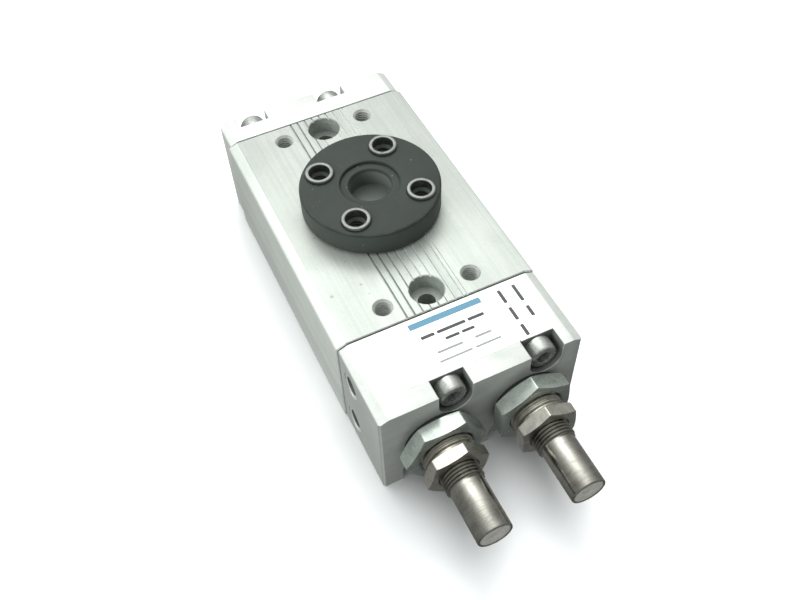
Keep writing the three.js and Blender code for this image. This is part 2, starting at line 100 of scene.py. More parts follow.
def fillet(points, radii, seg=4):
    """Rounds corners of a closed 2D outline. radii: one number, or {index: radius}."""
    n = len(points)
    out = []
    for i, p in enumerate(points):
        r = radii.get(i, 0) if isinstance(radii, dict) else radii
        a, b = Vector(points[i - 1]), Vector(points[(i + 1) % n])
        p = Vector(p)
        if r <= 0:
            out.append((p.x, p.y))
            continue
        u, v = (a - p), (b - p)
        lu, lv = u.length, v.length
        u.normalize(); v.normalize()
        cosang = max(-1, min(1, u.dot(v)))
        ang = math.acos(cosang)
        if ang > math.pi - 0.03 or ang < 0.03:
            out.append((p.x, p.y))
            continue
        t = min(r / math.tan(ang / 2), lu * 0.48, lv * 0.48)
        rr = t * math.tan(ang / 2)
        c = p + (u + v).normalized() * (rr / math.sin(ang / 2))
        s, e = p + u * t - c, p + v * t - c
        a0, a1 = math.atan2(s.y, s.x), math.atan2(e.y, e.x)
        d = a1 - a0
        while d > math.pi: d -= 2 * math.pi
        while d < -math.pi: d += 2 * math.pi
        for k in range(seg + 1):
            q = a0 + d * k / seg
            out.append((c.x + rr * math.cos(q), c.y + rr * math.sin(q)))
    return out


def inset(points, d):
    """Moves a counter-clockwise outline inwards by d."""
    n = len(points)
    out = []
    for i in range(n):
        a, p, b = Vector(points[i - 1]), Vector(points[i]), Vector(points[(i + 1) % n])
        e1, e2 = (p - a), (b - p)
        if e1.length < 1e-9 or e2.length < 1e-9:
            out.append((p.x, p.y)); continue
        e1.normalize(); e2.normalize()
        n1, n2 = Vector((-e1.y, e1.x)), Vector((-e2.y, e2.x))
        m = (n1 + n2)
        if m.length < 1e-6:
            out.append((p.x, p.y)); continue
        m.normalize()
        k = d / max(0.35, m.dot(n1))
        q = p + m * k
        out.append((q.x, q.y))
    return out


def area2(points):
    return sum(points[i - 1][0] * points[i][1] - points[i][0] * points[i - 1][1] for i in range(len(points))) / 2


def prism(name, outline, lo, hi, axis="Y", ch=(0.0, 0.0), smooth=35):
    """A closed outline pushed along an axis, with a chamfer of ch at each end.
    axis Y: outline is (x, z). axis Z: (x, y). axis X: (y, z)."""
    pts = list(outline)
    if area2(pts) < 0:
        pts.reverse()
    rings = []
    if ch[0] > 0:
        rings.append((inset(pts, ch[0]), lo)); rings.append((pts, lo + ch[0]))
    else:
        rings.append((pts, lo))
    if ch[1] > 0:
        rings.append((pts, hi - ch[1])); rings.append((inset(pts, ch[1]), hi))
    else:
        rings.append((pts, hi))
    put = {"Y": lambda p, h: (p[0], h, p[1]), "Z": lambda p, h: (p[0], p[1], h), "X": lambda p, h: (h, p[0], p[1])}[axis]
    bm = bmesh.new()
    vs = [[bm.verts.new(Vector(put(p, h)) * MM) for p in ring] for ring, h in rings]
    n = len(pts)
    for a, b in zip(vs, vs[1:]):
        for i in range(n):
            bm.faces.new((a[i], a[(i + 1) % n], b[(i + 1) % n], b[i]))
    bm.faces.new(list(reversed(vs[0])))
    bm.faces.new(vs[-1])
    return make_object(name, bm, smooth)


def turned(name, rows, angles, axis="Y", at=(0, 0, 0), closed=False, smooth=35):
    """Rows of (height, radius), each a number or one value per angle. A radius of 0 closes to a point.
    A row that is a dict is a helical thread, whose edges follow the helix.
    Angles are degrees: for axis Y from +Z towards +X, for axis Z from +X towards +Y, for axis X from +Y towards +Z."""
    n = len(angles)
    def put(a, r, h):
        c, s = math.cos(a * D), math.sin(a * D)
        if axis == "Y":
            return (at[0] + r * s, at[1] + h, at[2] + r * c)
        if axis == "Z":
            return (at[0] + r * c, at[1] + r * s, at[2] + h)
        return (at[0] + h, at[1] + r * c, at[2] + r * s)
    bm = bmesh.new()
    def ring(h, r):
        hs = h if isinstance(h, (list, tuple)) else [h] * n
        rs = r if isinstance(r, (list, tuple)) else [r] * n
        if not isinstance(r, (list, tuple)) and r == 0:
            return [bm.verts.new(Vector(put(0, 0, hs[0])) * MM)]
        return [bm.verts.new(Vector(put(a, rr, hh)) * MM) for a, rr, hh in zip(angles, rs, hs)]
    def skin(a, b):
        for i in range(n):
            j = (i + 1) % n
            if len(a) == 1 and len(b) == 1:
                return
            if len(a) == 1:
                bm.faces.new((a[0], b[j], b[i]))
            elif len(b) == 1:
                bm.faces.new((a[i], a[j], b[0]))
            else:
                bm.faces.new((a[i], a[j], b[j], b[i]))
    first = last = None
    for row in rows:
        if isinstance(row, dict):
            lo, hi = min(row["y0"], row["y1"]), max(row["y0"], row["y1"])
            a, b = ring(row["y0"], row["r0"]), ring(row["y1"], row["r0"])
            if last:
                skin(last, a)
            first = first or a
            prof, pitch = row["profile"], row["pitch"]
            per, turns = len(prof), int((hi - lo) / pitch) + 3
            grid = []
            for m_ in range(-2, turns):
                for ph, k in prof:
                    line = []
                    for i, an in enumerate(angles):
                        y = lo + (m_ + ph + i / n) * pitch
                        r = row["r0"] + (row["r1"] - row["r0"]) * k
                        y = min(hi, max(lo, y))
                        lim = min(y - lo, hi - y) * row["lead"]
                        if row["r1"] > row["r0"]:
                            r = min(r, row["r0"] + lim)
                        else:
                            r = max(r, row["r0"] - lim)
                        line.append(bm.verts.new(Vector(put(an, r, y)) * MM))
                    grid.append(line)
            for j in range(len(grid) - 1):
                for i in range(n - 1):
                    bm.faces.new((grid[j][i], grid[j][i + 1], grid[j + 1][i + 1], grid[j + 1][i]))
                if j + 1 + per < len(grid):
                    bm.faces.new((grid[j][n - 1], grid[j + per][0], grid[j + 1 + per][0], grid[j + 1][n - 1]))
            last = b
        else:
            a = ring(*row)
            if last:
                skin(last, a)
            first = first or a
            last = a
    if closed:
        skin(last, first)
    return make_object(name, bm, smooth)


V_THREAD = ((-0.09, 1.0), (0.0, 1.04), (0.09, 1.0), (0.36, 0.06), (0.5, 0.0), (0.64, 0.06))


def thread(y0, y1, r0, r1, pitch, lead=1.2):
    """A helical thread between two heights: r0 is the plain radius at its ends, r1 the far side of the profile."""
    return {"y0": y0, "y1": y1, "r0": r0, "r1": r1, "pitch": pitch, "lead": lead,
            "profile": V_THREAD}


def ring_angles(n, start=0.0):
    return [start + 360.0 * i / n for i in range(n)]


def hex_angles(turn, between=9):
    """Columns for a hexagon, with close columns at each corner. turn: one flat's normal."""
    out = []
    for k in range(6):
        c = turn + 30 + 60 * k
        out += [c - 1.1, c - 0.45, c + 0.45, c + 1.1]
        for i in range(1, between + 1):
            out.append(c + 1.1 + (60 - 2.2) * i / (between + 1))
    return out


def hex_radius(angles, turn, af, corner=0.985):
    rs = []
    for a in angles:
        d = ((a - turn + 30) % 60) - 30
        r = af / 2 / math.cos(d * D)
        rs.append(min(r, af / math.sqrt(3) * corner if corner else r))
    return rs


def hex_rows(angles, turn, af, y0, y1, ch0=True, ch1=True, flat=0.992, slope=17):
    """Rows for a hexagon's outside, with the 30 degree turned chamfer at its ends."""
    rs = hex_radius(angles, turn, af, 0.993)
    rf = af / 2 * flat
    s = 1 if y1 > y0 else -1
    rows = []
    if ch0:
        rows.append((y0, rf))
        rows.append(([y0 + s * max(0.02, (r - rf) * math.tan(slope * D)) for r in rs], rs))
    else:
        rows.append((y0, rs))
    if ch1:
        rows.append(([y1 - s * max(0.02, (r - rf) * math.tan(slope * D)) for r in rs], rs))
        rows.append((y1, rf))
    else:
        rows.append((y1, rs))
    return rows


def boolean(target, cutters, op="DIFFERENCE", keep=False):
    for c in cutters:
        m = target.modifiers.new("b", "BOOLEAN")
        m.operation = op
        m.solver = "EXACT"
        m.object = c
        deps = bpy.context.evaluated_depsgraph_get()
        me = bpy.data.meshes.new_from_object(target.evaluated_get(deps))
        target.modifiers.clear()
        old = target.data
        target.data = me
        bpy.data.meshes.remove(old)
        if not keep:
            bpy.data.objects.remove(c, do_unlink=True)
    return target


def tidy(ob, angle=35, dist=2e-6):
    bm = bmesh.new()
    bm.from_mesh(ob.data)
    bmesh.ops.remove_doubles(bm, verts=bm.verts, dist=dist)
    bmesh.ops.dissolve_degenerate(bm, edges=bm.edges, dist=dist)
    loose = [v for v in bm.verts if not v.link_faces]
    bmesh.ops.delete(bm, geom=loose, context="VERTS")
    bm.to_mesh(ob.data)
    bm.free()
    shade(ob, angle)
    return ob


def bevel_where(ob, test, width, seg=2):
    """Bevels the edges for which test(midpoint in mm, the two face normals, edge direction) is true."""
    bm = bmesh.new()
    bm.from_mesh(ob.data)
    bm.normal_update()
    chosen = []
    for e in bm.edges:
        if len(e.link_faces) != 2:
            continue
        n1, n2 = (f.normal for f in e.link_faces)
        if n1.angle(n2, 0) < 25 * D:
            continue
        m = (e.verts[0].co + e.verts[1].co) / 2 / MM
        d = (e.verts[1].co - e.verts[0].co)
        if d.length < 1e-7:
            continue
        if test(m, n1, n2, d.normalized()):
            chosen.append(e)
    bmesh.ops.bevel(bm, geom=chosen, offset=width * MM, offset_type="OFFSET", segments=seg, profile=0.5,
                    affect="EDGES", clamp_overlap=True)
    bm.to_mesh(ob.data)
    bm.free()
    return ob


# ------------------------------------------------------------------ materials
def rgb(r, g, b):
    f = lambda c: ((c / 255 + 0.055) / 1.055) ** 2.4 if c / 255 > 0.04045 else c / 255 / 12.92
    return (f(r), f(g), f(b), 1)


class Nodes:
    def __init__(self, name):
        self.mat = bpy.data.materials.new(name)
        self.mat.use_nodes = True
        self.t = self.mat.node_tree
        self.t.nodes.clear()
        self.out = self.t.nodes.new("ShaderNodeOutputMaterial")
        self.p = self.t.nodes.new("ShaderNodeBsdfPrincipled")
        self.link(self.p.outputs[0], self.out.inputs["Surface"])
        self.co = self.t.nodes.new("ShaderNodeTexCoord").outputs["Object"]

    def link(self, a, b):
        self.t.links.new(a, b)

    def mul(self, col, k):
        return self.mix(1.0, col, (k, k, k, 1), "MULTIPLY")

    def map(self, scale=(1, 1, 1), rot=(0, 0, 0), src=None):
        n = self.t.nodes.new("ShaderNodeMapping")
        n.inputs["Scale"].default_value = scale
        n.inputs["Rotation"].default_value = rot
        self.link(src or self.co, n.inputs["Vector"])
        return n.outputs[0]

    def noise(self, vec, scale, detail=3, rough=0.5, dist=0.0):
        n = self.t.nodes.new("ShaderNodeTexNoise")
        n.inputs["Scale"].default_value = scale
        n.inputs["Detail"].default_value = detail
        n.inputs["Roughness"].default_value = rough
        n.inputs["Distortion"].default_value = dist
        self.link(vec, n.inputs["Vector"])
        return n.outputs["Fac"]

    def ramp(self, fac, stops, interp="LINEAR"):
        n = self.t.nodes.new("ShaderNodeValToRGB")
        n.color_ramp.interpolation = interp
        el = n.color_ramp.elements
        while len(el) < len(stops):
            el.new(0.5)
        for e, (pos, col) in zip(el, stops):
            e.position = pos
            e.color = col if len(col) == 4 else (*col, 1)
        self.link(fac, n.inputs["Fac"])
        return n.outputs["Color"]

    def range(self, fac, a, b, lo=0.0, hi=1.0):
        n = self.t.nodes.new("ShaderNodeMapRange")
        n.inputs["From Min"].default_value = lo
        n.inputs["From Max"].default_value = hi
        n.inputs["To Min"].default_value = a
        n.inputs["To Max"].default_value = b
        self.link(fac, n.inputs["Value"])
        return n.outputs[0]

    def math(self, op, a, b=None, clamp=False):
        n = self.t.nodes.new("ShaderNodeMath")
        n.operation = op
        n.use_clamp = clamp
        for i, v in enumerate((a, b)):
            if v is None:
                continue
            if isinstance(v, (int, float)):
                n.inputs[i].default_value = v
            else:
                self.link(v, n.inputs[i])
        return n.outputs[0]

    def mix(self, fac, a, b, mode="MIX"):
        n = self.t.nodes.new("ShaderNodeMix")
        n.data_type = "RGBA"
        n.blend_type = mode
        if isinstance(fac, (int, float)):
            n.inputs[0].default_value = fac
        else:
            self.link(fac, n.inputs[0])
        for i, v in ((6, a), (7, b)):
            if isinstance(v, tuple):
                n.inputs[i].default_value = v
            else:
                self.link(v, n.inputs[i])
        return n.outputs[2]

    def bump(self, height, strength, distance, normal=None):
        n = self.t.nodes.new("ShaderNodeBump")
        n.inputs["Strength"].default_value = strength
        n.inputs["Distance"].default_value = distance
        self.link(height, n.inputs["Height"])
        if normal is not None:
            self.link(normal, n.inputs["Normal"])
        return n.outputs[0]

    def pointiness(self):
        return self.t.nodes.new("ShaderNodeNewGeometry").outputs["Pointiness"]

    def sep(self, src=None):
        n = self.t.nodes.new("ShaderNodeSeparateXYZ")
        self.link(src or self.co, n.inputs[0])
        return n.outputs


def aluminium(name, base, dark, along="Y", streak=0.9, metallic=0.5, rough=(0.3, 0.46), fine=1500, bump=0.16, spots=0.5, shadowed=None, edges=None, pockets=None, painted_shade_left=False, marks=(), painted_lighting=None):
    """Anodised aluminium: fine lines along the cut or extrusion, cloudy tone, small marks, worn edges.
    It can also take painted shade in the screw pockets, over the grooves towards -x and towards the rear, and a
    side-face factor that paints light above 1 and shade below 1.
    shadowed: (z, half width, factor) for hollows below a top face. edges: object-space tests for edge wear, in metres."""
    m = Nodes(name)
    lo = 0.012
    sc = {"Y": (1, lo, 1), "X": (lo, 1, 1), "Z": (1, 1, lo)}[along]
    lines = m.noise(m.map(sc), fine, 5, 0.7)
    broad = m.noise(m.map(tuple(v if v != 1 else 1 for v in sc)), fine * 0.16, 4, 0.6)
    cloud = m.noise(m.co, 55, 4, 0.6)
    grain = m.noise(m.co, 3000, 2, 0.6)
    t = m.math("ADD", m.math("MULTIPLY", lines, 0.45), m.math("MULTIPLY", broad, 0.55))
    t = m.range(t, 0, 1, 0.5 - 0.28 / max(streak, 0.1) * 0.5, 0.5 + 0.28 / max(streak, 0.1) * 0.5)
    col = m.mix(m.math("MULTIPLY", m.math("SUBTRACT", 1.0, t), streak, True), base, dark)
    col = m.mix(m.math("MULTIPLY", m.range(cloud, 0, 1, 0.42, 0.75), 0.35, True), col, dark)
    mottle = m.range(m.noise(m.co, 900, 5, 0.75), 0, 1, 0.5, 0.72)
    col = m.mix(m.math("MULTIPLY", mottle, 0.3, True), col, dark)
    pale = m.range(m.noise(m.co, 1250, 4, 0.7, 0.3), 0, 1, 0.56, 0.74)
    col = m.mix(m.math("MULTIPLY", pale, 0.3, True), col, tuple(min(1, c * 1.22) for c in base[:3]) + (1,))
    sp = m.range(m.noise(m.co, 620, 2, 0.45), 0, 1, 0.74, 0.78)
    col = m.mix(m.math("MULTIPLY", sp, spots, True), col, tuple(c * 0.3 for c in base[:3]) + (1,))
    xyz = m.sep()
    # painted shade towards the rear of the top, from y0 to y1, by the rear factor; side faces past |x| = side take the
    # side factor, painted light above 1 and painted shade below 1
    if painted_lighting:
        y0, y1, far, painted_side_factor, side = painted_lighting
        painted_rear_shade = m.range(xyz["Y"], 0, 1, y0 * MM, y1 * MM)
        uneven = m.range(m.noise(m.co, 38, 3, 0.5), -0.12, 0.12, 0.3, 0.7)
        painted_rear_shade = m.math("ADD", painted_rear_shade, uneven, True)
        col = m.mix(painted_rear_shade, col, m.mul(col, far))
        rim = m.range(m.math("ABSOLUTE", xyz["X"]), 0, 1, (side - 0.1) * MM, side * MM)
        col = m.mix(rim, col, m.mul(col, painted_side_factor))
    if shadowed:
        z, half, f = shadowed
        inside = m.math("LESS_THAN", m.math("ABSOLUTE", xyz["X"]), half)
        deep = m.range(xyz["Z"], 0, 1, z - 0.00005, z - 0.0004)
        below = m.math("GREATER_THAN", xyz["Z"], z - 0.012)
        k = m.math("MULTIPLY", m.math("MULTIPLY", inside, deep, True), below, True)
        col = m.mix(m.math("MULTIPLY", k, f, True), col, rgb(58, 62, 59))
    # painted shade over the grooves towards -x, fading out by x = -0.5 mm
    if painted_shade_left:
        col = m.mix(m.range(xyz["X"], 0.85, 0.0, -0.0062, -0.0005), col, rgb(132, 138, 133))
    for mx, my, mr in marks:
        dx, dy = m.math("SUBTRACT", xyz["X"], mx * MM), m.math("SUBTRACT", xyz["Y"], my * MM)
        d = m.math("SQRT", m.math("ADD", m.math("MULTIPLY", dx, dx), m.math("MULTIPLY", dy, dy)))
        d = m.math("ADD", d, m.math("MULTIPLY", m.math("SUBTRACT", grain, 0.5), 0.0006))
        k = m.math("MULTIPLY", m.range(d, 1, 0, mr * 0.4 * MM, mr * MM), m.math("GREATER_THAN", xyz["Z"], (HH - 0.2) * MM))
        col = m.mix(m.math("MULTIPLY", k, 0.6, True), col, rgb(112, 118, 114))
    # painted shade inside the screw pockets: strong on the front cap, weak on the rear cap
    for screws, y_face, y_seat in pockets or []:
        k = pocket_mask(m, xyz, screws)
        lo_, hi_ = min(y_face, y_seat), max(y_face, y_seat)
        k = m.math("MULTIPLY", k, m.math("GREATER_THAN", xyz["Y"], (lo_ + (0.2 if lo_ == y_face else -0.05)) * MM))
        k = m.math("MULTIPLY", k, m.math("LESS_THAN", xyz["Y"], (hi_ - (0.2 if hi_ == y_face else -0.05)) * MM))
        col = m.mix(m.math("MULTIPLY", k, 0.8 if y_face < 0 else 0.3, True), col, rgb(70, 74, 71))
    if edges:
        wear = None
        for axis, pos, width in edges:
            d = m.math("ABSOLUTE", m.math("SUBTRACT", m.math("ABSOLUTE", xyz[axis]) if axis == "X" else xyz[axis], pos))
            w = m.range(d, 1, 0, 0.0, width)
            wear = w if wear is None else m.math("ADD", wear, w)
        wear = m.math("SUBTRACT", wear, 1.0, True)
        chip = m.range(m.noise(m.co, 420, 4, 0.65), 0, 1, 0.5, 0.62)
        col = m.mix(m.math("MULTIPLY", m.math("MULTIPLY", wear, chip, True), 0.35, True), col, tuple(c * 0.52 for c in base[:3]) + (1,))
    m.link(col, m.p.inputs["Base Color"])
    r = m.math("ADD", m.math("MULTIPLY", lines, 0.5), m.math("MULTIPLY", cloud, 0.5))
    m.link(m.range(r, rough[0], rough[1], 0.3, 0.7), m.p.inputs["Roughness"])
    m.p.inputs["Metallic"].default_value = metallic
    b = m.bump(lines, bump, 0.00005)
    b = m.bump(grain, bump * 0.5, 0.00003, b)
    m.link(b, m.p.inputs["Normal"])
    return m.mat


def pocket_mask(m, xyz, screws):
    """1 inside the screw pockets of an end cap."""
    total = None
    for x, z in screws:
        dx = m.math("SUBTRACT", xyz["X"], x * MM)
        dz = m.math("SUBTRACT", xyz["Z"], z * MM)
        away = m.math("MULTIPLY", dz, 1.0 if z > HH / 2 else -1.0)
        dz = m.math("MINIMUM", away, 0.0)
        d = m.math("SQRT", m.math("ADD", m.math("MULTIPLY", dx, dx), m.math("MULTIPLY", dz, dz)))
        w = m.range(d, 1, 0, 0.00525, 0.00545)
        total = w if total is None else m.math("MAXIMUM", total, w)
    return total


def plated(name, base, dark, rough=(0.18, 0.34), metallic=1.0, fine=3600, bump=0.1, axis="Y", stain=0.35, stain_scale=260, tint=None, grainy=0.4):
    """Turned and plated steel: fine rings round the axis, a cloudy plating tone, darker stains."""
    m = Nodes(name)
    sc = {"Y": (0.04, 1, 0.04), "X": (1, 0.04, 0.04), "Z": (0.04, 0.04, 1), "N": (1, 1, 1)}[axis]
    lines = m.noise(m.map(sc), fine, 3, 0.6)
    cloud = m.noise(m.co, stain_scale, 4, 0.65, 0.4)
    grain = m.noise(m.co, 3800, 3, 0.6)
    t = m.math("ADD", m.math("MULTIPLY", lines, 0.35), m.math("MULTIPLY", cloud, 0.65))
    col = m.ramp(m.range(t, 0, 1, 0.32, 0.68), [(0.0, dark), (0.6, base), (1.0, tuple(min(1, c * 1.06) for c in base[:3]))])
    st = m.range(m.noise(m.co, stain_scale * 0.45, 3, 0.6, 0.6), 0, 1, 0.52, 0.72)
    col = m.mix(m.math("MULTIPLY", st, stain, True), col, tint or tuple(c * 0.55 for c in dark[:3]) + (1,))
    pit = m.range(grain, 0, 1, 0.66, 0.76)
    col = m.mix(m.math("MULTIPLY", pit, grainy, True), col, tuple(c * 0.5 for c in dark[:3]) + (1,))
    m.link(col, m.p.inputs["Base Color"])
    r = m.math("ADD", m.math("MULTIPLY", cloud, 0.5), m.math("MULTIPLY", grain, 0.5))
    m.link(m.range(r, rough[0], rough[1], 0.3, 0.7), m.p.inputs["Roughness"])
    m.p.inputs["Metallic"].default_value = metallic
    b = m.bump(lines, bump, 0.00003)
    b = m.bump(grain, bump * 0.8, 0.00003, b)
    m.link(b, m.p.inputs["Normal"])
    return m.mat


def black_anodise(name):
    m = Nodes(name)
    xyz = m.sep()
    rad = m.math("SQRT", m.math("ADD", m.math("MULTIPLY", xyz["X"], xyz["X"]), m.math("MULTIPLY", xyz["Y"], xyz["Y"])))
    rings = m.noise(m.map((1, 1, 1)), 1500, 3, 0.6)
    cloud = m.noise(m.co, 120, 4, 0.6)
    grain = m.noise(m.co, 5200, 2, 0.6)
    base = m.ramp(m.range(cloud, 0, 1, 0.3, 0.7), [(0.0, rgb(41, 46, 42)), (1.0, rgb(50, 55, 51))])
    # painted light on the wall of the central bore, against its shade
    hollow = m.math("MULTIPLY", m.range(rad, 1, 0, 0.0068, 0.0070), m.math("MULTIPLY", m.range(xyz["Z"], 1, 0, 0.0440, 0.0449), m.math("GREATER_THAN", xyz["Z"], 0.0380)), True)
    base = m.mix(m.math("MULTIPLY", hollow, 0.9, True), base, rgb(92, 98, 93))
    # painted light inside the sleeves' threaded holes, against their shade
    tapped = m.math("MULTIPLY", m.range(rad, 0, 1, 0.0105, 0.0112), m.range(xyz["Z"], 1, 0, 0.0442, 0.0449), True)
    tapped = m.math("MULTIPLY", tapped, m.range(rad, 1, 0, 0.0212, 0.0215), True)
    base = m.mix(m.math("MULTIPLY", tapped, 0.6, True), base, rgb(92, 98, 93))
    # painted light on the flange's side, and painted shade towards the bottom of that side
    lower = m.math("MULTIPLY", m.range(rad, 0, 1, 0.0213, 0.0218), m.range(xyz["Z"], 1, 0, 0.0375, 0.0412), True)
    side = m.math("MULTIPLY", m.range(rad, 0, 1, 0.0213, 0.0218), m.range(xyz["Z"], 1, 0, 0.0450, 0.0457), True)
    base = m.mix(m.math("MULTIPLY", side, 0.8, True), base, rgb(70, 76, 71))
    base = m.mix(m.math("MULTIPLY", lower, 0.45, True), base, rgb(44, 49, 45))
    edge = m.math("MULTIPLY", m.range(rad, 0, 1, 0.02125, 0.0215), m.range(xyz["Z"], 0, 1, 0.0455, 0.0458), True)
    worn = m.range(m.noise(m.co, 300, 4, 0.7), 0, 1, 0.42, 0.62)
    base = m.mix(m.math("MULTIPLY", m.math("MULTIPLY", edge, worn, True), 0.14, True), base, rgb(104, 110, 104))
    scuff = m.range(m.noise(m.map((1, 0.35, 1), (0, 0, 0.5)), 620, 3, 0.6), 0, 1, 0.64, 0.8)
    base = m.mix(m.math("MULTIPLY", scuff, 0.1, True), base, rgb(96, 102, 97))
    speck = m.range(m.noise(m.co, 1500, 1, 0.4), 0, 1, 0.80, 0.83)
    base = m.mix(m.math("MULTIPLY", speck, 0.7, True), base, rgb(170, 175, 170))
    m.link(base, m.p.inputs["Base Color"])
    m.p.inputs["Metallic"].default_value = 0.0
    m.link(m.range(cloud, 0.5, 0.66, 0.3, 0.7), m.p.inputs["Roughness"])
    m.p.inputs["Specular IOR Level"].default_value = 0.2
    b = m.bump(grain, 0.14, 0.00003)
    b = m.bump(rings, 0.05, 0.00005, b)
    m.link(b, m.p.inputs["Normal"])
    return m.mat


def rubber(name, c=(26, 27, 27), c2=None):
    m = Nodes(name)
    cloud = m.noise(m.co, 300, 3, 0.6)
    m.link(m.ramp(cloud, [(0.3, rgb(*c)), (0.7, rgb(*(c2 or tuple(int(v * 1.35) for v in c))))]), m.p.inputs["Base Color"])
    m.link(m.range(cloud, 0.6, 0.8, 0.3, 0.7), m.p.inputs["Roughness"])
    m.link(m.bump(m.noise(m.co, 3000, 2, 0.6), 0.15, 0.00004), m.p.inputs["Normal"])
    return m.mat


def film(name, c, edge=None, rough=0.42):
    m = Nodes(name)
    cloud = m.noise(m.co, 140, 3, 0.55)
    fibre = m.noise(m.map((1, 0.3, 1)), 2400, 3, 0.6)
    d = tuple(int(v * 0.955) for v in c)
    m.link(m.ramp(m.math("ADD", m.math("MULTIPLY", cloud, 0.6), m.math("MULTIPLY", fibre, 0.4)), [(0.32, rgb(*d)), (0.62, rgb(*c))]), m.p.inputs["Base Color"])
    m.link(m.range(cloud, rough - 0.06, rough + 0.08, 0.3, 0.7), m.p.inputs["Roughness"])
    m.link(m.bump(fibre, 0.05, 0.00003), m.p.inputs["Normal"])
    return m.mat


MAT = {
    # extrusion: painted shade towards the rear of the top, painted light on the side faces (factor 1.6)
    "housing_aluminium": aluminium("anodised_extrusion", rgb(180, 185, 180), rgb(148, 155, 149), "Y", 0.85, 0.4, (0.32, 0.46), 1500, 0.16, 0.45,
                                   None, [("X", HW * MM, 0.0006), ("Z", HH * MM, 0.0006), ("Z", 0.0, 0.0006), ("Y", HY0 * MM, 0.0005), ("Y", HY1 * MM, 0.0005)],
                                   marks=MARKS, painted_lighting=(-34, 42, 0.78, 1.6, 28.9)),
    # caps: painted shade inside the screw pockets and on the side faces (factor 0.8)
    "cap_aluminium": aluminium("anodised_machined", rgb(206, 210, 206), rgb(172, 178, 173), "X", 0.6, 0.4, (0.32, 0.46), 1900, 0.1, 0.3,
                               None, [("X", FCW * MM, 0.0006), ("Y", FCY0 * MM, 0.0006), ("Y", RCY1 * MM, 0.0006), ("Z", HH * MM, 0.0006), ("Z", 0.0, 0.0006)],
                               [(SCREWS_FRONT, FCY0, FRONT_SEAT_Y), (SCREWS_REAR, RCY1, REAR_SEAT_Y)], painted_lighting=(200, 201, 1.0, 0.8, FCW - 0.15)),
    "black_anodised": black_anodise("black_anodise"),
    # groove walls: a lighter copy of the extrusion's aluminium, painted light against the shade in the grooves, with
    # painted shade over the grooves towards -x
    "groove": aluminium("extrusion_grooves", rgb(214, 219, 214), rgb(176, 182, 177), "Y", 0.8, 0.3, (0.4, 0.5), painted_shade_left=True),
    "counterbore": plated("counterbore_cut", rgb(168, 174, 169), rgb(130, 136, 131), (0.35, 0.5), 0.4, 2600, 0.12, "Z", 0.3, 400),
    "tapped": plated("tapped_cut", rgb(212, 217, 212), rgb(168, 174, 169), (0.28, 0.4), 0.75, 2600, 0.08, "Z", 0.15, 400),
    # painted shade for the inside of the side ports
    "port_dark": plated("port_bore", rgb(84, 88, 85), rgb(52, 56, 53), (0.45, 0.6), 0.4, 2600, 0.1, "X", 0.3, 400),
    "sleeve_steel": plated("stainless_turned", rgb(156, 160, 155), rgb(126, 130, 126), (0.4, 0.56), 1.0, 4200, 0.1, "Z", 0.3, 500),
    "zinc_steel": plated("zinc_plate", rgb(182, 191, 184), rgb(150, 160, 153), (0.19, 0.29), 0.72, 1500, 0.1, "N", 0.35, 240, rgb(104, 113, 107)),
    "nickel_steel": plated("nickel_plate", rgb(174, 173, 165), rgb(138, 136, 128), (0.16, 0.27), 1.0, 4200, 0.1, "Y", 0.3, 240, rgb(104, 101, 94)),
    "sleeve_nickel": plated("nickel_matt", rgb(214, 212, 202), rgb(178, 175, 165), (0.26, 0.4), 1.0, 2600, 0.12, "N", 0.35, 420, rgb(128, 122, 112), 0.5),
    "plug_steel": plated("plug_satin", rgb(232, 232, 224), rgb(206, 206, 198), (0.5, 0.65), 0.1, 2200, 0.16, "N", 0.2, 700),
    "screw_steel": plated("screw_zinc", rgb(182, 186, 181), rgb(136, 140, 136), (0.2, 0.32), 0.78, 3000, 0.12, "Y", 0.3, 400),
    "machined_steel": plated("machined_steel", rgb(190, 192, 190), rgb(135, 138, 136), (0.2, 0.36), 1.0, 3600, 0.1, "Z", 0.2, 300),
    "bearing_steel": plated("bearing_steel", rgb(215, 216, 218), rgb(180, 182, 185), (0.08, 0.18), 1.0, 4200, 0.05, "Z", 0.1, 300),
    "seal_rubber": rubber("nitrile"),
    "label_film": film("label_film", (244, 246, 244)),
    "magnet": rubber("bonded_magnet", (58, 54, 50)),
}


def dress(ob, slot, body="base", replaces=(), look=None):
    ob.data.materials.clear()
    ob.data.materials.append(MAT[look or slot])
    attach(ob, body)
    if replaces:
        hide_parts(*replaces)
    return ob


# ------------------------------------------------------------------ housing
def body_outline(hw, top, chw, chh, foot=0.6):
    p, rad = [], {}
    def add(x, z, r=0.0):
        if r: rad[len(p)] = r
        p.append((x, z))
    add(-hw + foot, 0, 0.2); add(hw - foot, 0, 0.2); add(hw, foot, 0.2)
    add(hw, top - chh, 0.8); add(hw - chw, top, 1.2)
    add(-hw + chw, top, 1.2); add(-hw, top - chh, 0.8); add(-hw, foot, 0.2)
    return fillet(p, rad, 3)


def thread_cutter_z(name, x, y, z0, z1, r_major, r_minor, pitch, rim, seg=56):
    ang = ring_angles(seg)
    c0 = z1 - (r_major + rim - r_minor)
    rows = [(z0 - 1.2, 0), (z0, r_minor), thread(z0 + 0.1, c0 - 0.02, r_minor, r_major, pitch),
            (c0, r_minor), (z1, r_major + rim), (z1 + 0.5, r_major + rim + 0.5), (z1 + 0.5, 0)]
    return turned(name, rows, ang, "Z", (x, y, 0), smooth=0)


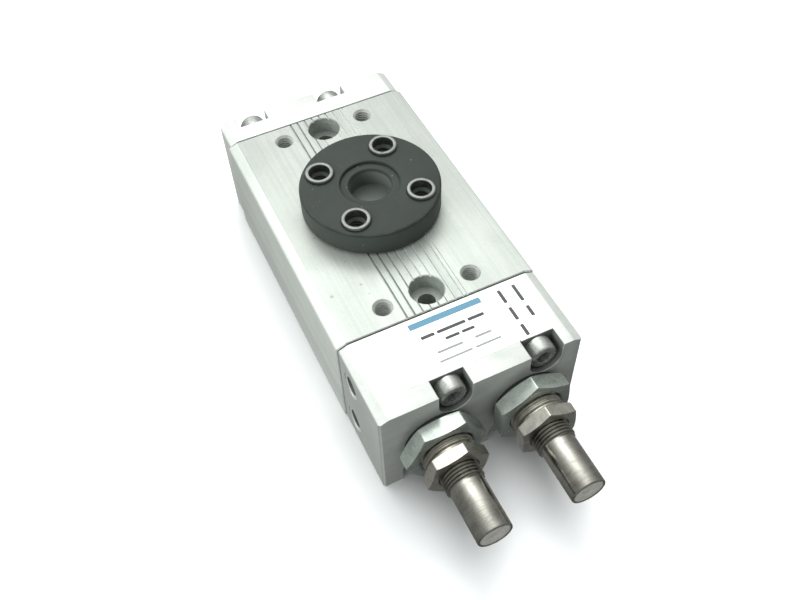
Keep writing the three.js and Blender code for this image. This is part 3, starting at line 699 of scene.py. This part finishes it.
housing = prism("housing_shell", body_outline(HW, HH, 3.2, 1.35), HY0, HY1, "Y", (0.3, 0.15), smooth=0)
bores = []
for s in (-1, 1):
    bores.append(turned("c", [(HY0 - 0.5, 0), (HY0 - 0.5, BORE_R + 0.9), (HY0 + 0.4, BORE_R), (HY1 - 0.4, BORE_R), (HY1 + 0.5, BORE_R + 0.9), (HY1 + 0.5, 0)], ring_angles(72), "Y", (s * BORE_X, 0, BORE_Z), smooth=0))
chamber = turned("c", [(-0.5, 0), (-0.5, 22.1), (2.0, 22.1), (2.0, 16.05), (9.05, 16.05), (9.05, 11.7), (27.9, 11.7), (27.9, 12.6), (28.5, 12.6), (28.5, 16.05),
                       (35.6, 16.05), (35.6, 17.0), (36.6, 17.0), (36.6, 16.05), (HH - 0.3, 16.05), (HH + 0.5, 16.85), (HH + 0.5, 0)], ring_angles(96), "Z", (0, 0, 0), smooth=0)
mount_holes = []
for s in (-1, 1):
    mount_holes.append(turned("c", [(-0.5, 0), (-0.5, 3.45), (0.2, 2.75), (31.3, 2.75), (31.3, 5.25), (HH - 0.25, 5.25), (HH + 0.5, 6.0), (HH + 0.5, 0)],
                              ring_angles(96), "Z", (0, s * MOUNT_HOLE_Y, 0), smooth=0))
threads = [thread_cutter_z("c", x, s * THREAD_HOLE_Y, 28.4, HH, 2.95, 2.45, 1.0, 0.18) for s in (-1, 1) for x in (-BORE_X, BORE_X)]
shafts = []
for x, z in SCREWS_FRONT:
    shafts.append(turned("c", [(HY0 - 0.5, 0), (HY0 - 0.5, 2.6), (-26.5, 2.6), (-25.2, 0)], ring_angles(32), "Y", (x, 0, z), smooth=0))
for x, z in SCREWS_REAR:
    shafts.append(turned("c", [(31.8, 0), (33.0, 2.6), (HY1 + 0.5, 2.6), (HY1 + 0.5, 0)], ring_angles(32), "Y", (x, 0, z), smooth=0))
cover_screws = [(19 * math.cos(a * D), 19 * math.sin(a * D)) for a in (90, 210, 330)]
for x, y in cover_screws:
    shafts.append(turned("c", [(1.5, 0), (1.5, 1.3), (8.4, 1.3), (9.0, 0)], ring_angles(24), "Z", (x, y, 0), smooth=0))
rib_cutters = []
for g in GROOVES:
    w = RIB_WIDTH[g]
    out = [(g - w * 0.4, HH - 0.55), (g + w * 0.4, HH - 0.55), (g + w, HH - 0.06), (g + w + 0.06, HH), (g + w + 0.16, HH + 0.1), (g - w - 0.16, HH + 0.1), (g - w - 0.06, HH), (g - w, HH - 0.06)]
    rib_cutters.append(prism("c", out, HY0 - 1, HY1 + 1, "Y", smooth=0))
boolean(housing, rib_cutters + [chamber] + bores + mount_holes + threads + shafts)
tidy(housing, 32)
dress(housing, "housing_aluminium", "base", ["housing"])
for look in ("groove", "counterbore", "tapped"):
    housing.data.materials.append(MAT[look])
# groove walls take the groove material with its painted light and painted shade; counterbores and tapped holes take
# their own materials
for p in housing.data.polygons:
    c = p.center / MM
    if HH - 0.6 < c.z < HH - 0.01 and abs(c.x) < 10.4 and abs(p.normal.y) < 0.05 and abs(math.hypot(c.x, abs(c.y) - MOUNT_HOLE_Y) - 5.5) > 0.7:
        p.material_index = 1
    elif c.z < HH - 0.02 and c.z > 29 and math.hypot(c.x, abs(c.y) - MOUNT_HOLE_Y) < 5.3 and abs(p.normal.z) < 0.5:
        p.material_index = 2
    elif c.z < HH - 0.02 and c.z > 27 and math.hypot(abs(c.x) - BORE_X, abs(c.y) - THREAD_HOLE_Y) < 3.3:
        p.material_index = 3

# ------------------------------------------------------------------ gaskets
def gasket(name, node, y0, y1, screws, top=36.55):
    out = fillet([(-30.9, 0.5), (30.9, 0.5), (30.9, 35.4), (28.3, top), (-28.3, top), (-30.9, 35.4)], 0.5, 4)
    g = prism(name, out, y0, y1, "Y", (0.05, 0.05), smooth=0)
    cs = [turned("c", [(y0 - 1, 0), (y0 - 1, BORE_R + 0.25), (y1 + 1, BORE_R + 0.25), (y1 + 1, 0)], ring_angles(64), "Y", (s * BORE_X, 0, BORE_Z), smooth=0) for s in (-1, 1)]
    cs += [turned("c", [(y0 - 1, 0), (y0 - 1, 2.8), (y1 + 1, 2.8), (y1 + 1, 0)], ring_angles(32), "Y", (x, 0, z), smooth=0) for x, z in screws]
    boolean(g, cs)
    tidy(g)
    dress(g, "seal_rubber", "base", [node])


gasket("gasket_front", "front_gasket", FCY1, HY0, SCREWS_FRONT, 36.8)
gasket("gasket_rear", "rear_gasket", HY1, RCY0, SCREWS_REAR)

# ------------------------------------------------------------------ end caps
def pocket(x, z, y0, y1, up):
    r = 5.2
    pts = []
    for i in range(25):
        a = (180 if up else 0) * D + i / 24 * math.pi
        pts.append((x + r * math.cos(a), z + r * math.sin(a)))
    pts += [(x + r, HH + 2), (x - r, HH + 2)] if up else [(x - r, -2), (x + r, -2)]
    return prism("c", pts, y0, y1, "Y", smooth=0)


def cap_outline(hw, chw):
    return fillet([(-hw + 0.6, 0), (hw - 0.6, 0), (hw, 0.6), (hw, HH - 1.3), (hw - chw, HH), (-hw + chw, HH), (-hw, HH - 1.3), (-hw, 0.6)],
                  {0: 0.2, 1: 0.2, 2: 0.2, 3: 0.7, 4: 1.0, 5: 1.0, 6: 0.7, 7: 0.2}, 3)


def corner_cutter(hw, y, s, inward, size=0.7):
    w = s * hw
    return prism("c", [(w - s * size, y - inward * 0.01), (w + s, y - inward * 1.0), (w + s * 0.01, y + inward * size)], -1, HH + 1, "Z", smooth=0)


front = prism("cap_front", cap_outline(FCW, 3.0), FCY0, FCY1, "Y", (0.0, 0.28), smooth=0)
cs = [corner_cutter(FCW, FCY0, s, 1) for s in (-1, 1)]
cs += [turned("c", [(FCY0 - 0.5, 0), (FCY0 - 0.5, BORE_R + 0.8), (FCY0 + 0.3, BORE_R), (FCY1 + 1, BORE_R), (FCY1 + 1, 0)], ring_angles(72), "Y", (s * BORE_X, 0, BORE_Z), smooth=0) for s in (-1, 1)]
for x, z in SCREWS_FRONT:
    cs.append(pocket(x, z, FCY0 - 1, FRONT_SEAT_Y, z > HH / 2))
    cs.append(turned("c", [(FRONT_SEAT_Y - 0.5, 0), (FRONT_SEAT_Y - 0.5, 2.6), (FCY1 + 1, 2.6), (FCY1 + 1, 0)], ring_angles(32), "Y", (x, 0, z), smooth=0))
boolean(front, cs)
tidy(front)
on_front = lambda m: abs(m.y - FCY0) < 0.01
on_top = lambda m: abs(m.z - HH) < 0.01
bevel_where(front, lambda m, a, b, d: (on_front(m) or (on_top(m) and m.y < FRONT_SEAT_Y + 0.05)) and abs(m.x) < FCW - 0.2 and m.z > 0.8
            and not any(math.hypot(m.x - s * BORE_X, m.z - BORE_Z) < 10 for s in (-1, 1))
            and not (on_front(m) and any(abs(m.x - x) < 5.3 and abs(m.z - z) < 5.3 for x, z in SCREWS_FRONT)), 0.15, 2)
ports = []
for z in PORT_Z:
    ang = ring_angles(56)
    rows = [(-FCW - 1.0, 0), (-FCW - 1.0, 4.6), (-FCW - 0.0, 4.2), (-FCW + 0.3, 4.1), (-FCW + 0.3, 2.95), (-FCW + 1.15, 2.1),
            thread(-FCW + 1.17, -FCW + 6.6, 2.1, 2.5, 0.8), (-FCW + 7.0, 2.05), (-FCW + 8.2, 0)]
    ports.append(turned("c", rows, ang, "X", (0, PORT_Y, z), smooth=0))
ports.append(turned("c", [(-26.0, 0), (-26.0, 1.3), (-13, 1.3), (-13, 0)], ring_angles(24), "X", (0, PORT_Y, 9.7), smooth=0))
ports.append(turned("c", [(-26.0, 0), (-26.0, 1.2), (BORE_X + 1.2, 1.2), (BORE_X + 1.2, 0)], ring_angles(24), "X", (0, PORT_Y, 29.2), smooth=0))
ports.append(turned("c", [(25.5, 0), (25.5, 1.2), (32.2, 1.2), (32.2, 2.05), (HH + 1, 2.05), (HH + 1, 0)], ring_angles(24, 7.5), "Z", (BORE_X, PORT_Y, 0), smooth=0))
boolean(front, ports)
tidy(front, 32)
dress(front, "cap_aluminium", "base", ["front_cap"])
front.data.materials.append(MAT["port_dark"])
# the side ports' bore faces take the port material: painted shade
for p in front.data.polygons:
    c = p.center / MM
    if -FCW + 0.35 < c.x < -20 and any(math.hypot(c.y - PORT_Y, c.z - z) < 2.7 for z in PORT_Z):
        p.material_index = 1

rear = prism("cap_rear", cap_outline(RCW, 2.8), RCY0, RCY1, "Y", (0.12, 0.0), smooth=0)
cs = [corner_cutter(RCW, RCY1, s, -1) for s in (-1, 1)]
cs += [turned("c", [(RCY0 - 1, 0), (RCY0 - 1, BORE_R), (RCY0 + 4.3, BORE_R), (RCY0 + 4.3, 0)], ring_angles(72), "Y", (s * BORE_X, 0, BORE_Z), smooth=0) for s in (-1, 1)]
for x, z in SCREWS_REAR:
    cs.append(pocket(x, z, REAR_SEAT_Y, RCY1 + 1, z > HH / 2))
    cs.append(turned("c", [(RCY0 - 1, 0), (RCY0 - 1, 2.6), (REAR_SEAT_Y + 0.5, 2.6), (REAR_SEAT_Y + 0.5, 0)], ring_angles(32), "Y", (x, 0, z), smooth=0))
boolean(rear, cs)
tidy(rear)
bevel_where(rear, lambda m, a, b, d: (abs(m.y - RCY1) < 0.01 or (on_top(m) and m.y > REAR_SEAT_Y - 0.05)) and abs(m.x) < RCW - 0.2 and m.z > 0.8, 0.15, 2)
tidy(rear, 32)
dress(rear, "cap_aluminium", "base", ["rear_cap"])

# ------------------------------------------------------------------ socket head cap screws
def cap_screw(name, node, x, z, seat, length, d, turn):
    ang = []
    for k in range(96):
        ang.append(turn + 30 + 3.75 * k)
    af = 4.0
    hexr = hex_radius(ang, turn, af, None)
    knurl = [4.25 if k % 2 else 4.17 for k in range(96)]
    y = lambda a: seat + d * a
    rows = [(y(-length), 0), (y(-length), 2.0)]
    rows += [thread(y(-length + 0.1), y(-length + 12), 2.0, 2.45, 0.8), (y(-length + 12.4), 2.45), (y(-0.01), 2.45), (y(0), 2.5), (y(0), 3.9), (y(0.25), 4.2), (y(0.45), knurl), (y(4.2), knurl), (y(4.4), 4.15), (y(4.75), 4.02), (y(5.0), 3.65)]
    rows += [(y(5.0), 2.62), ([y(5.0 - 0.22 * max(0.3, (2.62 - r) / 0.6)) for r in hexr], hexr), (y(2.6), hexr), (y(2.0), 0)]
    ob = turned(name, rows, ang, "Y", (x, 0, z), smooth=35)
    dress(ob, "screw_steel", "base", [node])


for i, n in enumerate(("upper_inner", "upper_outer", "lower_inner", "lower_outer")):
    cap_screw("socket_screw_front_" + n, "front_cap_screw_" + n, *SCREWS_FRONT[i], FRONT_SEAT_Y, 40, -1, (12, 47, 5, 33)[i])
    cap_screw("socket_screw_rear_" + n, "rear_cap_screw_" + n, *SCREWS_REAR[i], REAR_SEAT_Y, 20, 1, (21, 3, 40, 15)[i])

# ------------------------------------------------------------------ output flange and centring sleeves
fl = turned("flange_disc", [
    (28.5, 0), (28.5, 9.5), (28.85, 9.85), (35.5, 9.85), (35.5, 11.7), (35.8, 12.0), (FLANGE_Z0 - 0.2, 12.0), (FLANGE_Z0, 12.2),
    (FLANGE_Z0, FLANGE_R - 0.45), (FLANGE_Z0 + 0.13, FLANGE_R - 0.13), (FLANGE_Z0 + 0.45, FLANGE_R),
    (FLANGE_Z1 - 0.85, FLANGE_R), (FLANGE_Z1 - 0.6, FLANGE_R - 0.04), (FLANGE_Z1 - 0.38, FLANGE_R - 0.16), (FLANGE_Z1 - 0.19, FLANGE_R - 0.34), (FLANGE_Z1 - 0.06, FLANGE_R - 0.56), (FLANGE_Z1, FLANGE_R - 0.82),
    (FLANGE_Z1, 9.62), (FLANGE_Z1 - 0.08, 9.5), (FLANGE_Z1 - 0.3, 9.28), (FLANGE_Z1 - 0.4, 9.25), (FLANGE_Z1 - 1.0, 9.25), (FLANGE_Z1 - 1.0, 7.0), (FLANGE_Z1 - 1.08, 6.9),
    (FLANGE_Z1 - 1.35, 6.62), (FLANGE_Z1 - 1.45, 6.6), (38.6, 6.6), (38.2, 6.3), (38.2, 0)], ring_angles(192), "Z", (0, 0, 0), smooth=0)
sleeve_xy = [(SLEEVE_PCR * math.cos((SLEEVE_ANGLE + 90 * i) * D), SLEEVE_PCR * math.sin((SLEEVE_ANGLE + 90 * i) * D)) for i in range(4)]
cs = []
for x, y in sleeve_xy:
    ang = ring_angles(64)
    rows = [(37.0, 0), (37.0, 2.55), thread(37.2, 43.2, 2.55, 3.0, 1.0), (43.3, 2.55), (44.1, 3.35), (44.1, 4.53), (FLANGE_Z1 - 0.15, 4.53), (FLANGE_Z1 + 0.5, 5.2), (FLANGE_Z1 + 0.5, 0)]
    cs.append(turned("c", rows, ang, "Z", (x, y, 0), smooth=0))
cs.append(turned("c", [(27.5, 0), (27.5, 2.95), (36.2, 2.95), (36.8, 0)], ring_angles(32), "Z", (0, 0, 0), smooth=0))
for s in (-1, 1):
    cs.append(turned("c", [(27.5, 0), (27.5, 1.6), (33.4, 1.6), (33.8, 0)], ring_angles(24), "Z", (s * 7.2, 0, 0), smooth=0))
boolean(fl, cs)
tidy(fl, 32)
dress(fl, "black_anodised", "rotor", ["output_flange"])
for i, (x, y) in enumerate(sleeve_xy):
    zb = 44.15
    rows = [(zb, 3.45), (zb, 4.3), (zb + 0.2, 4.5), (SLEEVE_TOP - 0.32, 4.5), (SLEEVE_TOP - 0.2, 4.46), (SLEEVE_TOP - 0.05, 4.3), (SLEEVE_TOP, 4.2),
            (SLEEVE_TOP, 3.44), (SLEEVE_TOP - 0.05, 3.35), (SLEEVE_TOP - 0.16, 3.28), (SLEEVE_TOP - 0.26, 3.26), (zb + 0.3, 3.26)]
    s = turned("sleeve_%d" % (i + 1), rows, ring_angles(96), "Z", (x, y, 0), closed=True)
    dress(s, "sleeve_steel", "rotor", ["centring_sleeve_%d" % (i + 1)])

# ------------------------------------------------------------------ end stops
STOP_FACE = -41.947
WASHER_Y = -74.8


def end_stop(side, name, nut_turn, hex_turn, hex_y0, hex_y1, end_y, thread_y, flat):
    at = (side * BORE_X, 0, BORE_Z)
    # sealing washer
    w = turned(name + "_washer", [(WASHER_Y, 8.35), (WASHER_Y, 9.9), (WASHER_Y + 0.15, 10.15), (FCY0 - 0.15, 10.15), (FCY0, 9.9), (FCY0, 8.35), (FCY0 - 0.2, 8.15), (WASHER_Y + 0.2, 8.15)],
               ring_angles(96), "Y", at, closed=True)
    dress(w, "seal_rubber", "base", [name + "_sealing_washer"])
    # lock nut
    ang = hex_angles(nut_turn, 11)
    y0, y1 = WASHER_Y - 5.1, WASHER_Y
    rows = [(y0, 8.85)] + hex_rows(ang, nut_turn, 22, y0, y1) + [(y1, 8.85), (y1 - 0.75, 8.05)]
    rows += [(y0 + 0.75, 8.05)]
    nut = turned(name + "_nut", rows, ang, "Y", at, closed=True)
    dress(nut, "zinc_steel", "base", [name + "_lock_nut"])
    # stop sleeve: hexagon outside, thread, narrow nose inside
    ang = hex_angles(hex_turn, 11)
    rows = hex_rows(ang, hex_turn, 17, hex_y0, hex_y1)
    rows += [(hex_y1 + 0.02, 7.2), thread(hex_y1 + 0.3, -63.0, 7.2, 7.95, 1.5), (-62.9, 7.2), (-62.6, 7.2), (-62.0, 7.2), (-61.8, 7.0), (STOP_FACE - 0.4, 7.0), (STOP_FACE, 6.6), (STOP_FACE, 6.3), (STOP_FACE - 0.25, 6.05), (hex_y0 + 0.4, 6.05), (hex_y0, 6.45)]
    sl = turned(name + "_sleeve", rows, ang, "Y", at, closed=True)
    dress(sl, "nickel_steel", "base", [name + "_stop_sleeve"], "sleeve_nickel")
    # absorber cartridge
    ang = ring_angles(128)
    rows = [(end_y + 1.5, 0), (end_y + 1.5, 4.72), (end_y + 0.12, 4.72), (end_y, 4.84), (end_y, 5.0), (end_y + 0.06, 5.13), (end_y + 0.3, 5.28), (end_y + 0.42, 5.3),
            (thread_y - 0.3, 5.3), (thread_y - 0.2, 5.28), thread(thread_y - 0.1, -78.0, 5.28, 5.95, 1.0), (-77.9, 5.28), (-77.2, 5.95), (-46.6, 5.95), (-46, 5.4), (-46, 2.3), (-46.25, 2.1), (-71.5, 2.1), (-72.0, 0)]
    body = turned(name + "_cartridge", rows, ang, "Y", at, smooth=0)
    if flat:
        cutter = prism("c", fillet([(end_y + 3, BORE_Z - 1.3), (thread_y - 2.5, BORE_Z - 1.3), (thread_y - 2.5, BORE_Z + 1.3), (end_y + 3, BORE_Z + 1.3)], 1.25, 8), at[0] + 4.75, at[0] + 7, "X", smooth=0)
        boolean(body, [cutter])
    tidy(body, 32)
    dress(body, "nickel_steel", "base", [name + "_absorber_body"])
    plug = turned(name + "_plug", [(end_y + 1.45, 0), (end_y + 1.45, 4.65), (end_y + 0.3, 4.65), (end_y + 0.18, 4.55), (end_y + 0.16, 4.4), (end_y + 0.16, 1.0), (end_y + 0.22, 0.7), (end_y + 0.24, 0)],
                  ring_angles(96), "Y", at)
    dress(plug, "plug_steel", "base", [name + "_absorber_end_plug"])
    lo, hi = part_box(name + "_absorber_plunger")
    a, b = lo[1] / MM, hi[1] / MM
    pl = turned(name + "_rod", [(a, 0), (a, 1.7), (a + 0.3, 2.0), (b - 0.6, 2.0), (b - 0.25, 1.85), (b - 0.05, 1.4), (b, 0)], ring_angles(48), "Y", at)
    dress(pl, "machined_steel", name + "_plunger", [name + "_absorber_plunger"])


end_stop(-1, "left", -2.8, -15, -87.0, -83.2, -107.2, -91.5, False)
end_stop(1, "right", 28, -34, -87.4, -83.6, -107.6, -91.9, True)

# ------------------------------------------------------------------ labels
LABEL_T = 0.12


def plate(name, x0, x1, y0, y1, z0, z1, r, slot, seg=6):
    out = fillet([(x0, y0), (x1, y0), (x1, y1), (x0, y1)], r, seg)
    return prism(name, out, z0, z1, "Z", (0.0, 0.0))


lab = plate("label_type", -28.6, 15.15, -66.9, -46.7, HH, HH + LABEL_T, 0.8, "label_film")
dress(lab, "label_film", "base", ["type_label"])
lab2 = prism("label_side", fillet([(15.2, -67.1), (15.0, -67.1), (14.8, -67.1), (14.8, -67.0), (25.4, -67.0), (25.9, -68.3), (27.6, -68.1), (27.4, -67.2), (27.6, -46.7), (15.2, -46.7)],
                                  {4: 0.1, 5: 0.3, 6: 0.4, 8: 0.8, 9: 0.8}, 4), HH, HH + LABEL_T, "Z", (0.0, 0.0))
dress(lab2, "label_film", "base", ["side_label"])


def ink(name, rects, col, z):
    bm = bmesh.new()
    for x0, x1, y0, y1 in rects:
        r = min(0.35, (x1 - x0) * 0.3, (y1 - y0) * 0.3)
        pts = fillet([(x0, y0), (x1, y0), (x1, y1), (x0, y1)], r, 3)
        lo = [bm.verts.new(Vector((x, y, z)) * MM) for x, y in pts]
        hi = [bm.verts.new(Vector((x, y, z + 0.012)) * MM) for x, y in pts]
        n = len(pts)
        for i in range(n):
            bm.faces.new((lo[i], lo[(i + 1) % n], hi[(i + 1) % n], hi[i]))
        bm.faces.new(list(reversed(lo)))
        bm.faces.new(hi)
    ob = make_object(name, bm)
    ob.data.materials.append(film("ink_" + name, col, rough=0.5))
    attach(ob, "base")
    return ob


zi = HH + LABEL_T + 0.002
ink("print_band", [(-11.0, 12.0, -50.2, -48.1)], (74, 120, 142), zi)
ink("print_bars_dark", [(-9.4, -5.2, -54.4, -53.3), (-4.4, 4.6, -54.4, -53.3), (5.4, 10.6, -54.4, -53.3), (-3.2, 1.2, -57.3, -56.3), (2.0, 6.0, -57.3, -56.3)], (52, 54, 55), zi)
ink("print_bars_pale", [(-7.4, 0.6, -60.5, -59.7), (4.4, 9.6, -60.5, -59.7), (-8.2, 2.0, -63.5, -62.8), (3.0, 11.0, -63.5, -62.8)], (122, 127, 128), zi)
ink("print_bars_side", [(17.6, 18.7, -53.6, -48.6), (17.6, 18.7, -60.2, -55.4), (17.6, 18.7, -66.2, -62.0), (22.4, 23.5, -55.0, -48.6), (22.4, 23.5, -61.0, -57.0)], (58, 61, 61), zi)

# ------------------------------------------------------------------ underside cover
cov = turned("cover_bottom", [(0, 0), (0, 21.7), (0.3, 22.0), (1.75, 22.0), (1.95, 21.8), (1.95, 0)], ring_angles(160), "Z", smooth=0)
cs = [turned("c", [(-0.6, 0), (-0.6, 3.65), (0, 3.05), (1.5, 1.55), (3, 1.55), (3, 0)], ring_angles(48), "Z", (x, y, 0), smooth=0) for x, y in cover_screws]
boolean(cov, cs)
tidy(cov, 32)
dress(cov, "cap_aluminium", "base", ["bottom_cover"])
for i, (x, y) in enumerate(cover_screws):
    turn = (10, 52, 31)[i]
    ang = [turn + 30 + 5 * k for k in range(72)]
    hx = hex_radius(ang, turn, 1.9, None)
    rows = [(0.9, 0), (1.0, hx), (0.3, hx), (0.15, 1.2), (0.15, 2.6), (0.2, 2.74), (0.32, 2.72), (1.75, 1.22)]
    rows += [(1.85, 1.0), thread(1.9, 7.7, 1.0, 1.22, 0.5), (7.8, 1.0), (8.0, 0)]
    s = turned("countersunk_screw_%d" % (i + 1), rows, ang, "Z", (x, y, 0))
    dress(s, "screw_steel", "base", ["cover_screw_%d" % (i + 1)])

# ------------------------------------------------------------------ the CAD nodes that stay
slots = {s["node"]: s["material_slot"] for s in frame["record"]["subparts"]}
for node, ob in frame["nodes"].items():
    for sl in ob.material_slots:
        sl.material = MAT[slots[node]]

# ------------------------------------------------------------------ floor, light, camera
bm = bmesh.new()
half, rad_ = 1.6, 0.0
vs = [bm.verts.new((x, y, 0.0)) for x, y in ((-half, -half), (half, -half), (half, half), (-half, half))]
bm.faces.new(vs)
floor = make_object("floor", bm, 0)
fm = Nodes("floor_white")
fm.link(fm.ramp(fm.noise(fm.co, 8, 2, 0.5), [(0.3, rgb(240, 243, 244)), (0.7, rgb(244, 247, 248))]), fm.p.inputs["Base Color"])
fm.p.inputs["Roughness"].default_value = 0.7
fm.p.inputs["Specular IOR Level"].default_value = 0.2
floor.data.materials.append(fm.mat)

world = bpy.data.worlds.new("studio")
bpy.context.scene.world = world
world.use_nodes = True
wt = world.node_tree
wt.nodes.clear()
wo = wt.nodes.new("ShaderNodeOutputWorld")
bg = wt.nodes.new("ShaderNodeBackground")
tc = wt.nodes.new("ShaderNodeTexCoord")
dot = wt.nodes.new("ShaderNodeVectorMath")
dot.operation = "DOT_PRODUCT"
dot.inputs[1].default_value = Vector((0.014, 0.55, 0.828)).normalized()
rp = wt.nodes.new("ShaderNodeMapRange")
rp.inputs["From Min"].default_value, rp.inputs["From Max"].default_value = -1.0, 1.0
cr = wt.nodes.new("ShaderNodeValToRGB")
wt.links.new(tc.outputs["Generated"], dot.inputs[0])
wt.links.new(dot.outputs["Value"], rp.inputs["Value"])
wt.links.new(rp.outputs[0], cr.inputs["Fac"])
SKY = [(0.0, 0.14), (0.15, 0.16), (0.35, 0.31), (0.6, 0.33), (0.75, 0.41), (0.847, 0.64), (0.91, 0.98), (0.953, 1.6), (0.983, 2.8), (1.0, 3.4)]
el = cr.color_ramp.elements
while len(el) < len(SKY):
    el.new(0.5)
for e, (pos, v) in zip(el, SKY):
    e.position = pos
    e.color = (v * 0.99, v, v * 0.985, 1)
wt.links.new(cr.outputs["Color"], bg.inputs["Color"])
bg.inputs["Strength"].default_value = 1.0
wt.links.new(bg.outputs[0], wo.inputs["Surface"])


def area(name, loc, target, size, power, color=(1, 1, 1), glossy=True):
    li = bpy.data.lights.new(name, "AREA")
    li.shape = "RECTANGLE"
    li.size, li.size_y = size
    li.energy = power
    li.color = color
    ob = bpy.data.objects.new(name, li)
    bpy.context.scene.collection.objects.link(ob)
    ob.location = loc
    d = Vector(target) - Vector(loc)
    ob.rotation_euler = d.to_track_quat("-Z", "Y").to_euler()
    ob.visible_glossy = glossy
    return ob


area("key", (0.42, 0.72, 1.0), (0, 0, 0.02), (0.8, 0.6), 11.0, (1.0, 1.0, 0.985), False)
area("top", (0.0, 0.0, 1.3), (0, 0, 0.02), (1.2, 1.2), 8.5, (1.0, 1.0, 1.0), False)
left = area("left", (-1.0, -0.15, 0.55), (0, 0, 0.02), (0.9, 0.6), 13.0, (0.99, 1.0, 0.995), False)
on_piece_only = bpy.data.collections.new("left_light_receivers")
on_piece_only.objects.link(floor)
left.light_linking.receiver_collection = on_piece_only
on_piece_only.collection_objects[0].light_linking.link_state = "EXCLUDE"
floor.visible_glossy = False
floor.visible_diffuse = False

cam_d = bpy.data.cameras.new("camera")
cam = bpy.data.objects.new("camera", cam_d)
bpy.context.scene.collection.objects.link(cam)
cam_d.sensor_width = 36.0
cam_d.lens = 40.39
cam_d.clip_start = 0.01
fwd = Vector((0.24346, 0.55411, -0.79605)).normalized()
right = Vector((0.90063, -0.43378, -0.02649))
right = (right - fwd * right.dot(fwd)).normalized()
up = right.cross(fwd)
m = Matrix((right, up, -fwd)).transposed().to_4x4()
m.translation = Vector((-71.914, -182.725, 243.82)) * MM
cam.matrix_world = m
bpy.context.scene.camera = cam
bpy.context.scene.view_settings.view_transform = "Standard"
